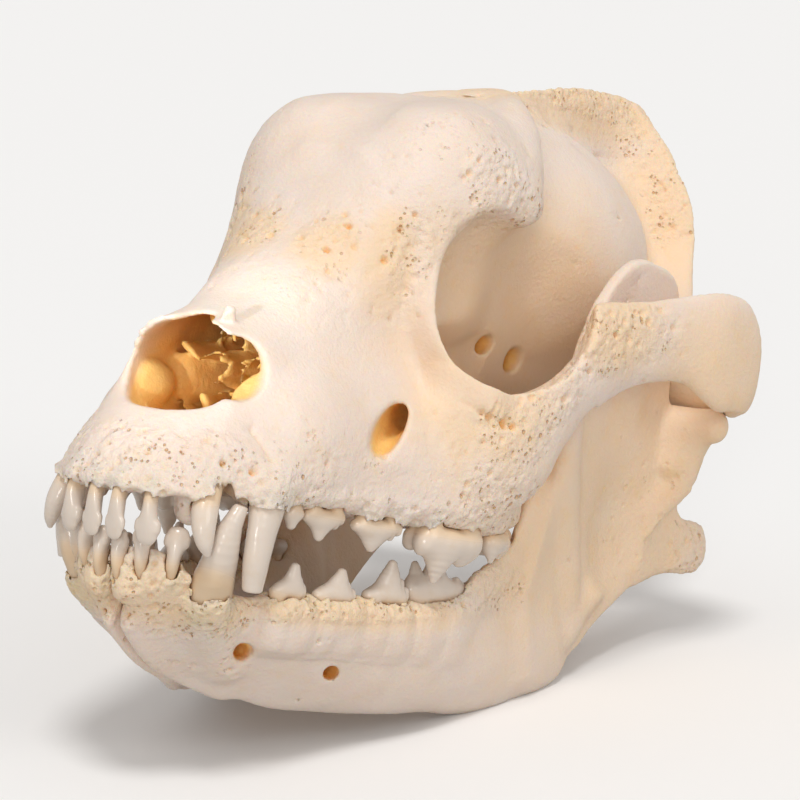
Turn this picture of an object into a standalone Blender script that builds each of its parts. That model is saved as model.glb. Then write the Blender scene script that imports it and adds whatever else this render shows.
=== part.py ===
"""Skull of a Saint Bernard dog with its jaw closed: cranium, two halves of the lower jaw and 40 teeth.

The bones are described in the skull's own frame, in millimetres: the origin is the alveolar margin
between the first upper incisors, +X is the animal's left, the nose points along -Y, and Z is square
to the palate. Every bone is a field of distances built from simple closed forms that are joined or
cut with a soft blend. Its zero surface is the bone's surface. The meshes are thinned, the right side
mirrors the left, and Boolean modifiers then cut the rooms for the teeth, the jaw joints and the two
flats under the jaw. The skull is turned nose-up by REST_PITCH, which is how it lies on those flats,
and put on the plane z = 0.
"""

import math

import bpy
import numpy as np
from mathutils import Euler

# Driving dimensions, millimetres in the skull's own frame unless named otherwise.
REST_PITCH = 12.0  # degrees that the palate tips nose-up when the jaw lies on a table
SWEEP = 0.46  # how far the rear of each side is drawn in and back, for each millimetre of its width
SWEEP_FROM, SWEEP_TO = 88.0, 150.0  # where along Y the sweep starts and where it is full
SWEEP_REACH = 60.0  # distance from the midline past which the sweep grows no further
SWEEP_WAY = (-0.415, 0.905)  # direction of the sweep on the left side, in X and Y
SWEEP_FALL = (-0.047, 0.0012)  # its direction in Z on the plane z = 0, and for each millimetre above
FLAT_DEPTH = 2.6  # how deep the two resting flats cut into the lower border of the jaw
SOCKET_GAP = 0.65  # clearance between a tooth and the wall of its socket
BITE_GAP = 1.2  # clearance between a bone and the teeth of the other jaw
JAW_GAP = 1.0  # clearance in the two jaw joints
SYMPHYSIS_GAP = 0.5  # width of the fissure between the jaw halves
BONE_STEP = 1.5  # grid step of the bones' fields
TOOTH_STEP = 0.6  # grid step of the teeth's fields
CRANIUM_FACES = 3100  # triangles left on the cranium before its sockets are cut
JAW_FACES = 730  # triangles left on each jaw half before its sockets are cut
JOINT_FACES = 70  # triangles left on the cutter of each jaw joint
TOOTH_FACES = {"carnassial": 96, "canine": 61, "molar_1": 55, "": 44}  # triangles left, by name
WORN_TIPS = {"upper_canine_left": ((26.9, 22.7, -21.2), (0.1, -0.1, 1)),  # a point and the normal
             "lower_canine_left": ((24.4, 16.4, -1.0), (-0.2, -0.1, -1))}  # of the flat on the tip
FAR = 1e3  # distance that a field holds where no form reaches

BONE_COLOUR = (0.84, 0.74, 0.62, 1.0)
TOOTH_COLOUR = (0.88, 0.82, 0.72, 1.0)
BONE_ROUGHNESS = 0.6
TOOTH_ROUGHNESS = 0.3


def smooth_min(a, b, blend):
    """Smaller of two distances, rounded where they are within blend of each other."""
    if blend <= 0:
        return np.minimum(a, b)
    near = np.maximum(blend - np.abs(a - b), 0) / blend
    return np.minimum(a, b) - near * near * (blend / 4)


class Form:
    """A closed form: the box that holds it, and its signed distance, which is negative inside."""

    def __init__(self, low, high, distance):
        self.low = np.asarray(low, float)
        self.high = np.asarray(high, float)
        self.distance = distance

    def grown(self, by):
        """The same form with its surface moved outwards."""
        return Form(self.low - by, self.high + by, lambda x, y, z: self.distance(x, y, z) - by)


class Group:
    """Forms joined one after another, each with its own blend."""

    def __init__(self, *items):
        self.items = [item if isinstance(item, tuple) else (item, 0.0) for item in items]
        self.low = np.min([form.low for form, _ in self.items], axis=0)
        self.high = np.max([form.high for form, _ in self.items], axis=0)

    def grown(self, by):
        return Group(*[(form.grown(by), blend) for form, blend in self.items])


class Field:
    """Distances to a surface, kept on a regular grid."""

    def __init__(self, axes, step):
        self.axes = axes
        self.step = step
        self.values = np.full([axis.size for axis in axes], FAR, np.float32)

    def combine(self, form, blend, join):
        margin = blend + 2.5 * self.step
        where = tuple(slice(*np.searchsorted(axis, (a - margin, b + margin)))
                      for axis, a, b in zip(self.axes, form.low, form.high))
        x, y, z = [axis[part] for axis, part in zip(self.axes, where)]
        if not (x.size and y.size and z.size):
            return
        if isinstance(form, Group):
            inner = Field([x, y, z], self.step)
            for item, own in form.items:
                inner.combine(item, own, True)
            distance = inner.values
        else:
            distance = form.distance(x[:, None, None], y[None, :, None], z[None, None, :])
        if join:
            self.values[where] = smooth_min(self.values[where], distance, blend)
        else:
            self.values[where] = -smooth_min(-self.values[where], distance, blend)

    def add(self, form, blend=0.0):
        self.combine(form, blend, True)

    def cut(self, form, blend=0.0):
        self.combine(form, blend, False)


def grid(low, high, step):
    """Empty field over the box between two corners."""
    return Field([a + step * np.arange(math.ceil((b - a) / step) + 1, dtype=np.float32)
                  for a, b in zip(low, high)], step)


def blob(centre, radii, turn=(0, 0, 0)):
    """Ellipsoid, turned about its centre by degrees about X, then Y, then Z."""
    centre = np.array(centre, float)
    radii = np.array(radii, float)
    axes = np.array(Euler([math.radians(t) for t in turn]).to_matrix())
    reach = np.sqrt(((axes * radii) ** 2).sum(axis=1))

    def distance(x, y, z):
        own = [axes[0, i] * (x - centre[0]) + axes[1, i] * (y - centre[1]) + axes[2, i] * (z - centre[2])
               for i in range(3)]
        near = np.sqrt(sum((own[i] / radii[i]) ** 2 for i in range(3)))
        slope = np.sqrt(sum((own[i] / radii[i] ** 2) ** 2 for i in range(3)))
        return near * (near - 1) / np.maximum(slope, 1e-6)

    return Form(centre - reach, centre + reach, distance)


def through(knots, count):
    """Points on a smooth curve through the knots (rows of any numbers), count of them to each span."""
    knots = np.array(knots, float)
    padded = np.vstack([2 * knots[0] - knots[1], knots, 2 * knots[-1] - knots[-2]])
    rows = []
    for i in range(1, len(padded) - 2):
        before, here, there, after = padded[i - 1:i + 3]
        for t in np.arange(count) / count:
            rows.append(0.5 * (2 * here + (there - before) * t
                               + (2 * before - 5 * here + 4 * there - after) * t * t
                               + (3 * here - before - 3 * there + after) * t ** 3))
    rows.append(knots[-1])
    return np.array(rows)


def link(start, end, tall, wide, up):
    """Straight length of bar whose section is an ellipse: tall along up and wide across it."""
    start, end = np.array(start, float), np.array(end, float)
    axis = end - start
    length = np.linalg.norm(axis)
    axis = axis / max(length, 1e-9)
    side = np.cross(axis, up)
    side = side / max(np.linalg.norm(side), 1e-9)
    rise = np.cross(side, axis)
    reach = max(max(tall), max(wide))

    def distance(x, y, z):
        dx, dy, dz = x - start[0], y - start[1], z - start[2]
        along = dx * axis[0] + dy * axis[1] + dz * axis[2]
        inside = np.clip(along, 0, length)
        part = inside / max(length, 1e-9)
        high = tall[0] + (tall[1] - tall[0]) * part
        broad = wide[0] + (wide[1] - wide[0]) * part
        u = dx * rise[0] + dy * rise[1] + dz * rise[2]
        s = dx * side[0] + dy * side[1] + dz * side[2]
        beyond = along - inside
        short = np.minimum(high, broad)
        near = np.sqrt((u / high) ** 2 + (s / broad) ** 2 + (beyond / short) ** 2)
        slope = np.sqrt((u / high ** 2) ** 2 + (s / broad ** 2) ** 2 + (beyond / short ** 2) ** 2)
        return near * (near - 1) / np.maximum(slope, 1e-6)

    return Form(np.minimum(start, end) - reach, np.maximum(start, end) + reach, distance)


def bar(knots, up=(0, 0, 1), count=4):
    """Curved bar. Each knot is x, y, z, half height, half width, and may end with its own up vector."""
    full = [tuple(knot) + (tuple(up) if len(knot) == 5 else ()) for knot in knots]
    rows = through(full, count)
    links = [link(a[:3], b[:3], (max(a[3], 0.3), max(b[3], 0.3)), (max(a[4], 0.3), max(b[4], 0.3)),
                  (a[5:8] + b[5:8]) / 2) for a, b in zip(rows, rows[1:])]
    return Group(*links)


def rod(knots, count=4):
    """Curved round bar. Each knot is x, y, z, radius."""
    return bar([(x, y, z, r, r) for x, y, z, r in knots], (0.31, 0.17, 0.94), count)


def hull(stations, roundness=2.3, blunt=3.0):
    """Long form along Y. Each station is y, half width, lowest z, z where it is widest, highest z."""
    rows = through(stations, 12)
    low = (-rows[:, 1].max(), rows[0, 0], rows[:, 2].min())
    high = (rows[:, 1].max(), rows[-1, 0], rows[:, 4].max())

    def distance(x, y, z):
        wide, bottom, middle, top = [np.interp(y, rows[:, 0], rows[:, i]) for i in range(1, 5)]
        tall = np.where(z > middle, top - middle, middle - bottom)
        n = np.where(z > middle, roundness, blunt)
        across, over = np.abs(x) / wide, np.abs(z - middle) / tall
        near = np.maximum(across ** n + over ** n, 1e-9) ** (1 / n)
        slope = np.sqrt((across ** (n - 1) / wide) ** 2 + (over ** (n - 1) / tall) ** 2)
        slope = slope * np.maximum(near, 1e-4) ** (1 - n)
        flat = (near - 1) / np.maximum(slope, 1e-6)
        return np.maximum(flat, np.maximum(rows[0, 0] - y, y - rows[-1, 0]))

    return Form(low, high, distance)


def plate(outline, middle, thick, edge=1.5):
    """Upright plate with an outline of (y, z) knots. middle and thick give its x and half thickness."""
    ring = through(list(outline) + [outline[0]], 3)[:-1]
    reach = [middle(y, z) + s * thick(y, z) for y, z in ring for s in (-1, 1)]
    low = (min(reach) - 3, ring[:, 0].min(), ring[:, 1].min())
    high = (max(reach) + 3, ring[:, 0].max(), ring[:, 1].max())

    def distance(x, y, z):
        y, z = np.broadcast_arrays(y, z)
        away = np.full(y.shape, FAR)
        inside = np.zeros(y.shape, bool)
        for (ay, az), (by, bz) in zip(ring, np.roll(ring, -1, axis=0)):
            ty, tz = by - ay, bz - az
            part = np.clip(((y - ay) * ty + (z - az) * tz) / (ty * ty + tz * tz), 0, 1)
            away = np.minimum(away, np.hypot(y - ay - part * ty, z - az - part * tz))
            if tz != 0:
                crosses = (az > z) != (bz > z)
                inside ^= crosses & (y < ay + (z - az) * ty / tz)
        side = np.where(inside, -away, away) + edge
        through_wall = np.abs(x - middle(y, z)) - thick(y, z) + edge
        outer = np.hypot(np.maximum(side, 0), np.maximum(through_wall, 0))
        return outer + np.minimum(np.maximum(side, through_wall), 0) - edge

    return Form(low, high, distance)


def half_space(point, normal):
    """Everything behind a plane that faces along normal."""
    point, normal = np.array(point, float), np.array(normal, float)
    normal = normal / np.linalg.norm(normal)

    def distance(x, y, z):
        return (x - point[0]) * normal[0] + (y - point[1]) * normal[1] + (z - point[2]) * normal[2]

    return Form([-500] * 3, [500] * 3, distance)


class Stance:
    """A tooth's own axes: along runs back along the jaw, out to the cheek, and grow to its tip."""

    def __init__(self, gum, heading, grow, lean=0.0, splay=0.0):
        turn = math.radians(heading)
        self.gum = np.array(gum, float)
        self.along = np.array([math.sin(turn), math.cos(turn), 0])
        out = np.array([math.cos(turn), -math.sin(turn), 0])
        tip = np.array([0, 0, grow]) + out * math.tan(math.radians(splay)) \
            + self.along * math.tan(math.radians(lean))
        self.grow = tip / np.linalg.norm(tip)
        side = out - self.grow * out.dot(self.grow)
        self.out = side / np.linalg.norm(side)

    def at(self, a, b, c):
        """Point at a along the jaw, b outwards and c from the gum towards the tip."""
        return tuple(self.gum + a * self.along + b * self.out + c * self.grow)

    def spike(self, *knots):
        """Bar through knots of a, b, c, half length along the jaw and half width across it."""
        return bar([self.at(a, b, c) + (t, w) for a, b, c, t, w in knots], self.along, 3)

    def ridge(self, *knots):
        """Bar that runs along the jaw, through knots of a, b, c, half height and half width."""
        return bar([self.at(a, b, c) + (h, w) for a, b, c, h, w in knots], self.grow, 3)

    def lump(self, a, b, c, along, out, grow):
        """Ellipsoid of three half sizes along the tooth's own axes."""
        return link(self.at(a, b, c - grow * 0.35), self.at(a, b, c + grow * 0.35),
                    (along, along), (out, out), self.along)


def incisor(place, wide, tall, root=8, neck=1.6):
    """Narrow root, and a crown like a small spade with a lobe on each side of its edge."""
    return Group(
        (place.spike((0, -root * 0.6, -root, 1.0, 1.3), (0, -root * 0.24, -root * 0.5, neck * 0.9, 2.2),
                     (0, 0, 0, neck, 2.5), (0, 0.2, tall * 0.3, neck * 1.15, 2.6),
                     (0, 0.1, tall * 0.62, wide * 0.42, 2.1),
                     (0, 0, tall * 0.84, wide * 0.4, 1.3), (0, -0.2, tall - 0.8, wide * 0.3, 0.8)), 0.3),
        (place.lump(-wide * 0.34, 0, tall * 0.62, wide * 0.15, 1.2, tall * 0.16), 0.8),
        (place.lump(wide * 0.34, 0, tall * 0.62, wide * 0.15, 1.2, tall * 0.16), 0.8),
    )


def premolar(place, long, wide, tall, root=6.5, peak=-0.05):
    """Two roots, and a blade with a shoulder in front, one main cusp and a small one behind it."""
    return Group(
        place.spike((-long * 0.26, 0, -root, 1.1, 1.1), (-long * 0.28, 0, 0.6, 2.0, wide * 0.38)),
        place.spike((long * 0.28, 0, -root, 1.1, 1.1), (long * 0.3, 0, 0.6, 2.1, wide * 0.38)),
        (place.ridge((-long * 0.41, 0, 2.0, 1.5, wide * 0.32), (-long * 0.2, 0, 2.6, 2.0, wide * 0.42),
                     (long * 0.2, 0, 2.5, 2.0, wide * 0.42), (long * 0.42, 0, 1.9, 1.5, wide * 0.32)), 1.2),
        (place.spike((peak * long * 0.3, 0, 2.2, long * 0.33, wide * 0.44),
                     (peak * long * 0.8, 0, tall * 0.56, long * 0.23, wide * 0.36),
                     (peak * long, 0, tall - 1.3, 1.5, 1.1)), 1.4),
        (place.spike((long * 0.3, 0, 2, 1.7, wide * 0.3), (long * 0.33, 0, tall * 0.5, 1.1, 0.9)), 0.9),
        (place.lump(long * 0.46, 0, tall * 0.28, 1.0, wide * 0.22, 1.3), 0.8),
    )


def first_premolar(place, long, wide, tall):
    """Small tooth behind the canine: one root and a low blunt cusp."""
    return Group(
        place.spike((0, 0, -6, 1.2, 1.1), (0, 0, 0.4, long * 0.36, wide * 0.4)),
        (place.ridge((-long * 0.3, 0, 2.0, 1.4, wide * 0.36), (long * 0.32, 0, 1.8, 1.3, wide * 0.34)), 1.2),
        (place.spike((-0.2, 0, 1.8, long * 0.38, wide * 0.42), (-0.3, 0, tall - 1.4, 1.4, 1.2)), 1.4),
    )


def upper_carnassial(place):
    """Fourth upper premolar: a tall front cusp, a long shearing blade behind it and an inner lobe."""
    return Group(
        place.spike((-7.0, 0.4, -7, 1.8, 1.6), (-6.5, 0.4, 1, 3.0, 2.8)),
        place.spike((7.0, 0, -7, 2.0, 1.6), (6.6, 0, 1, 3.6, 2.8)),
        (place.spike((-7.8, -2.2, -4, 1.7, 1.7), (-7.8, -4.2, 2.6, 2.2, 2.2)), 2.6),
        (place.ridge((-8.0, 0, 3.2, 3.6, 3.2), (0, 0.3, 3.4, 4.0, 3.6), (8.2, 0, 3.2, 3.6, 3.0)), 1.5),
        (place.spike((-2.4, 0.2, 3, 6.2, 3.6), (-2.6, 0.2, 7.6, 4.0, 2.8), (-3.0, 0, 12.8, 1.1, 0.9)), 2.0),
        (place.spike((5.6, -0.2, 3, 4.8, 2.9), (6.2, -0.4, 6.4, 3.6, 2.0), (6.6, -0.6, 8.2, 2.2, 0.7)), 1.6),
        (place.spike((-8.8, -0.2, 3, 1.8, 2.0), (-9.6, 0, 5.6, 0.9, 0.9)), 1.2),
        (place.lump(-8.4, -4.8, 3.4, 2.3, 2.1, 2.2), 1.4),
    )


def upper_molar(place, long, wide, tall):
    """Broad grinding tooth: two cusps on the cheek side and a low inner shelf."""
    return Group(
        place.spike((0, 0, -4.5, long * 0.22, wide * 0.2), (0, 0, 1, long * 0.38, wide * 0.36)),
        (place.spike((0, wide * 0.28, 2.6, long * 0.45, wide * 0.18),
                     (0, -wide * 0.3, 2.2, long * 0.3, wide * 0.16)), 2.0),
        (place.spike((-long * 0.22, wide * 0.3, 2.4, long * 0.24, wide * 0.16),
                     (-long * 0.2, wide * 0.3, tall - 0.6, 0.9, 0.8)), 1.4),
        (place.spike((long * 0.24, wide * 0.26, 2.4, long * 0.2, wide * 0.15),
                     (long * 0.24, wide * 0.26, tall * 0.78, 0.9, 0.8)), 1.4),
        (place.lump(-long * 0.05, -wide * 0.22, 3.6, long * 0.2, wide * 0.1, 1.6), 1.2),
    )


def lower_carnassial(place):
    """First lower molar: two shearing cusps and a low heel behind them."""
    return Group(
        place.spike((-6.2, 0, -7, 2.0, 1.6), (-6.0, 0, 1, 3.6, 2.6)),
        place.spike((6.4, 0, -7, 2.0, 1.6), (6.2, 0, 1, 3.6, 2.6)),
        (place.ridge((-8.8, 0, 3, 3.0, 2.6), (0, 0, 3.2, 4.0, 3.4), (8.6, 0, 3, 3.0, 3.0)), 1.5),
        (place.spike((-7.0, 0, 4, 3.8, 2.4), (-8.0, -0.4, 9.6, 1.1, 0.8)), 1.5),
        (place.spike((-0.6, 0, 4, 4.8, 3.0), (-0.4, 0, 9, 3.2, 2.1), (0, 0, 13.4, 1.0, 0.8)), 1.6),
        (place.spike((7.8, 0.6, 3.4, 2.6, 1.8), (7.6, 0.6, 6.2, 1.0, 0.8)), 1.2),
    )


def lower_molar(place, long, wide, tall):
    """Small low tooth behind the lower carnassial."""
    return Group(
        place.spike((0, 0, -5, long * 0.2, wide * 0.24), (0, 0, 1, long * 0.38, wide * 0.36)),
        (place.ridge((-long * 0.26, 0, 1.8, 2.0, wide * 0.42), (long * 0.26, 0, 1.8, 2.0, wide * 0.4)), 1.0),
        (place.lump(-long * 0.2, wide * 0.14, tall * 0.66, 1.2, 1.1, tall * 0.3), 0.9),
        (place.lump(long * 0.22, 0, tall * 0.56, 1.1, 1.1, tall * 0.26), 0.9),
    )


def canines():
    """The two left canines."""
    upper = bar([(23.6, 31.6, 10.5, 3.4, 2.6), (26.6, 25.2, 2, 5.4, 3.7),
                 (27.7, 22.6, -6, 4.5, 3.2), (27.5, 22.0, -14, 3.8, 3.0), (27.0, 22.8, -22, 2.6, 2.3)],
                (0, 1, 0.35))
    lower = bar([(12.4, 31, -34, 3.6, 3.0), (17.0, 20.4, -24, 6.4, 4.7),
                 (21.4, 15.8, -14, 5.0, 3.9), (23.3, 15.2, -7, 3.4, 2.7), (24.6, 16.6, -1.6, 1.9, 1.7)],
                (0, 1, 0.25))
    return {"upper_canine_left": upper, "lower_canine_left": lower}


def left_teeth():
    """Every tooth of the left side by its node's name."""
    teeth = {
        "upper_incisor_1_left": incisor(Stance((3.3, -3.2, -2.2), 90, -1, 0, 4), 5.4, 10.8),
        "upper_incisor_2_left": incisor(Stance((10.6, -0.6, -1.2), 74, -1, 2, 3), 6.4, 11.8),
        "upper_premolar_1_left": first_premolar(Stance((28.0, 35.0, -0.4), 6, -1), 6.4, 4.4, 5.8),
        "upper_premolar_2_left": premolar(Stance((29.8, 46.0, -0.4), 12, -1), 13.6, 5.0, 8.2),
        "upper_premolar_3_left": premolar(Stance((34.8, 63.6, -1.8), 14, -1), 17.0, 5.6, 8.6),
        "upper_carnassial_left": upper_carnassial(Stance((42.4, 88.2, -3.2), 17, -1, 0, -2)),
        "upper_molar_1_left": upper_molar(Stance((41.0, 107.0, -3.0), -4, -1), 13.0, 17.0, 7.6),
        "upper_molar_2_left": upper_molar(Stance((38.0, 118.6, -1.6), -8, -1), 7.6, 11.0, 5.0),
        "lower_incisor_1_left": incisor(Stance((2.6, 1.6, -18.8), 90, 1, 0, 6), 4.2, 8.6, 7, 1.3),
        "lower_incisor_2_left": incisor(Stance((7.8, 3.2, -17.4), 76, 1, 0, 10), 5.2, 9.2, 7, 1.4),
        "lower_incisor_3_left": incisor(Stance((13.2, 8.2, -17.2), 58, 1, 4, 8), 6.4, 9.4, 7, 1.6),
        "lower_premolar_2_left": premolar(Stance((24.7, 42.6, -23.6), 10, 1), 11.2, 4.6, 9.4, 6.5, 0.16),
        "lower_premolar_3_left": premolar(Stance((28.3, 58.8, -24.0), 12, 1), 14.0, 5.0, 9.2, 6.5, 0.14),
        "lower_premolar_4_left": premolar(Stance((32.4, 77.4, -23.4), 13, 1), 15.6, 5.8, 11.4, 6.5, 0.08),
        "lower_carnassial_left": lower_carnassial(Stance((35.6, 97.0, -22.6), 12, 1, 0, -3)),
        "lower_molar_2_left": lower_molar(Stance((37.0, 114.6, -21.0), 12, 1), 9.4, 6.4, 5.2),
        "lower_molar_3_left": lower_molar(Stance((38.0, 123.2, -19.4), 10, 1), 5.4, 4.8, 4.0),
    }
    teeth["upper_incisor_3_left"] = bar(
        [(18.2, 13.4, 7.5, 2.0, 1.8), (18.9, 11.4, 4, 2.8, 2.4), (20.1, 8.4, -1.5, 3.3, 2.8),
         (21.2, 6.8, -6.2, 3.1, 2.6), (22.2, 6.7, -10.4, 2.2, 1.9), (22.9, 7.6, -13.2, 0.9, 0.8)],
        (0.5, 0.87, 0.1))
    teeth.update(canines())
    return teeth


def cranium_body(step):
    """Left half of the solid cranium before its inner hollows are cut."""
    bone = grid((0, -10, -16), (86, 256, 134), step)
    # Upper jaw: the box of the maxilla, widest over the last teeth, and the bridge of the nose.
    bone.add(hull([(-5, 8, 0, 0.6, 1.6), (-3, 12.5, -0.6, 0.6, 4.5), (0, 16, -0.8, 0.8, 9),
                   (5, 19.6, -0.8, 1.2, 14.6), (12, 24, -0.8, 1.6, 21), (22, 28.6, -0.8, 2, 27.6),
                   (34, 31.8, -1.6, 4, 35), (47, 34.4, -1.8, 5, 40),
                   (60, 38.2, -2.8, 6, 44), (74, 42.6, -4, 7, 46), (88, 47.2, -5, 7, 42),
                   (102, 49.6, -5.4, 6, 36), (112, 48.8, -4.6, 5, 30), (121, 43.5, -3.4, 5, 24),
                   (125, 35, -2, 6, 20)], 1.9, 4.4))
    bone.add(hull([(21.5, 15.6, 16, 31, 41.6), (30, 17.4, 10, 31, 44.2), (40, 18, 8, 33, 49),
                   (50, 20, 8, 36, 58), (58, 21.5, 8, 40, 65), (66, 23.8, 8, 48, 75),
                   (74, 26.6, 8, 58, 86), (82, 29, 8, 64, 94),
                   (90, 28, 8, 66, 98), (98, 20, 8, 66, 98)], 2.3, 2.4), 11)
    # Forehead: a broad dome over each orbit, the shield between them, and a shallow furrow.
    bone.add(blob((17.0, 104, 80.9), (21.6, 28.6, 26.0)), 9)
    bone.add(hull([(78, 10, 40, 75, 90), (92, 26.5, 40, 78, 101.8), (106, 32.5, 40, 84, 107),
                   (118, 34, 40, 84, 110), (130, 28, 40, 82, 111), (142, 21, 40, 76, 111.5),
                   (154, 15, 40, 72, 110), (168, 8, 50, 75, 102)], 2.2, 2.2), 9)
    bone.cut(rod([(0, 62, 90, 6), (0, 82, 108, 8), (0, 104, 117.5, 8), (0, 128, 119.5, 7),
                  (0, 146, 119, 3)]), 8)
    # Braincase, with the crest along its top and the crest around the back of the head.
    bone.add(blob((0, 180, 70), (36, 50, 38)), 16)
    bone.add(hull([(140, 17, 24, 50, 104), (160, 20, 22, 50, 106), (185, 22, 22, 50, 107),
                   (210, 24, 22, 50, 106), (232, 22, 40, 60, 102)], 1.9, 2.4), 12)
    bone.add(bar([(0, 150, 108, 7, 6), (0, 166, 111, 7, 3.4), (0, 182, 113, 7.5, 2.4),
                  (0, 200, 115.5, 8, 2.2), (0, 220, 118, 8, 2.4), (0, 238, 119.5, 7, 4),
                  (0, 244, 119, 5.5, 4.5)]), 8)
    bone.add(bar([(0, 176, 100, 12, 3), (0, 200, 104, 14, 2.4), (0, 222, 104, 18, 2.6),
                  (0, 236, 104, 17, 4)]), 4)
    bone.add(bar([(0, 241, 118, 6, 3.6), (8, 239, 111, 6.5, 2.8), (15, 236, 103, 7, 2.4),
                  (21, 233, 94, 8, 2.4), (26, 230, 83, 8, 2.6), (30, 224, 72, 8, 3.4),
                  (34, 217, 60, 8, 4.4), (37, 210, 48, 7, 5)], (0.6, 0.3, 0.74)), 7)
    # Floor of the skull: palatine and pterygoid bones, the drum capsules, and the joint with the neck.
    bone.add(hull([(96, 22, 0, 8, 30), (112, 20, 0.5, 8, 40), (126, 15, 3, 14, 50), (140, 13, 8, 24, 60),
                   (156, 15, 16, 32, 66), (176, 20, 21, 36, 66), (200, 24, 22, 38, 66),
                   (222, 20, 26, 42, 66), (236, 15, 38, 50, 66)], 2.4, 3.0), 8)
    bone.add(bar([(12.5, 122, 10, 9, 2.0), (12, 134, 10, 8, 1.8), (12, 146, 12, 8, 1.8),
                  (12.5, 156, 17, 6, 2.0)]), 4)
    bone.add(blob((22, 209, 26), (10.5, 14, 10.5), (0, 0, -14)), 4)
    bone.add(bar([(33, 222, 50, 8, 5), (32, 225, 38, 7, 5), (31, 226, 27, 4, 3.4)], (0, 1, 0)), 6)
    bone.add(blob((14.5, 234, 46), (8.5, 9.5, 9.5)), 5)
    bone.add(blob((0, 236, 84), (16, 5, 26)), 10)
    # Root of the cheek arch behind, with the hollow for the jaw joint and the lip that backs it.
    bone.add(bar([(26, 200, 52, 14, 12), (40, 199, 48, 9, 9), (50, 197.5, 45.2, 8.3, 8.5),
                  (60, 194.5, 45, 9, 7), (70, 190, 45.5, 10, 5)]), 6)
    bone.add(bar([(42, 202.5, 42, 7, 5), (46, 203, 34, 7, 4), (50, 202, 27.5, 5, 2.6)], (1, 0, 0)), 5)
    # Sockets of the eyes, and the pinch behind them.
    bone.cut(blob((44.5, 101.5, 56.8), (22.5, 24.5, 23.5), (0, -10, 0)), 2.5)
    bone.cut(blob((45, 134, 57), (22.5, 33, 27), (0, -6, 0)), 6)
    bone.cut(blob((53, 128, 24), (23, 25, 14), (0, 12, 0)), 5)
    # Cheek arch: the plate under the orbit, then the flat bow out to the side.
    bone.add(bar([(37, 86, 17, 20, 9), (43, 93, 17.5, 18, 8), (48, 100, 20, 16.3, 6.5),
                  (51.5, 106.5, 28, 12.8, 5.4), (54.6, 112.5, 37, 11.5, 4.6), (57, 117.5, 44.5, 14, 4.2),
                  (59.5, 123, 47.5, 13.2, 3.9), (64, 133, 51, 11.4, 3.7), (68, 143, 53, 11, 3.6),
                  (71.5, 153, 54.5, 12, 3.6), (74.6, 162, 54, 14.4, 3.7), (76.6, 173, 51.4, 15.6, 3.9),
                  (76.5, 183, 47.5, 11.6, 4.4), (72, 190, 46.5, 9.5, 5)]), 4)
    # Rim of the orbit, and the process behind it that overhangs the socket.
    bone.add(bar([(27, 90, 73, 4, 4), (27.5, 84, 64, 4.5, 4), (30.5, 82, 54, 5, 4.5), (36, 84, 43, 6, 6),
                  (43.5, 91, 33.5, 6, 6)], (0, 1, 0.2)), 7)
    bone.add(bar([(20, 100, 88, 9, 8), (28.5, 107, 87.5, 8, 7), (33.2, 111.6, 85.2, 5.2, 4.8),
                  (36.2, 114.2, 82.2, 3.0, 3.0)], (0.3, 1, 0)), 6)
    bone.add(bar([(35.5, 116.5, 84, 4, 3), (33, 119, 92, 5, 3), (27.5, 125, 101, 5, 3.4),
                  (19.5, 133, 107, 5, 4), (11, 145, 110.5, 5, 4), (3, 157, 112, 6, 4)], (0, 1, 0)), 5)
    bone.cut(blob((44.5, 101.5, 56.8), (21.5, 23.5, 23), (0, -10, 0)), 2)
    bone.cut(blob((42.5, 97.5, 51), (19, 20.5, 18.5), (0, -10, 0)), 2)
    # Swellings over the roots of the canine and of the cheek teeth.
    bone.add(rod([(26, 24.5, 2.5, 5.6), (23, 32, 12, 5.2), (20.5, 39, 20, 4.6)]), 5)
    bone.add(blob((21, 47, 16), (11, 16, 13), (0, 0, 12)), 8)
    for x, y in ((3.5, -3.6), (10.6, -1.2), (18.6, 6.4)):
        bone.add(rod([(x, y + 0.6, 0.8, 2.8), (x * 0.9, y + 7, 9, 2.2)]), 3)
    for x, y in ((36.5, 60.5), (38.5, 70), (41.5, 81), (45.5, 95), (47.5, 104)):
        bone.add(rod([(x - 2.2, y, -0.5, 3.4), (x - 3.8, y, 8, 2.6)]), 3)
    bone.add(blob((15.2, 9.5, -3.2), (4.2, 4.2, 4.4)), 2)
    return bone


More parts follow.
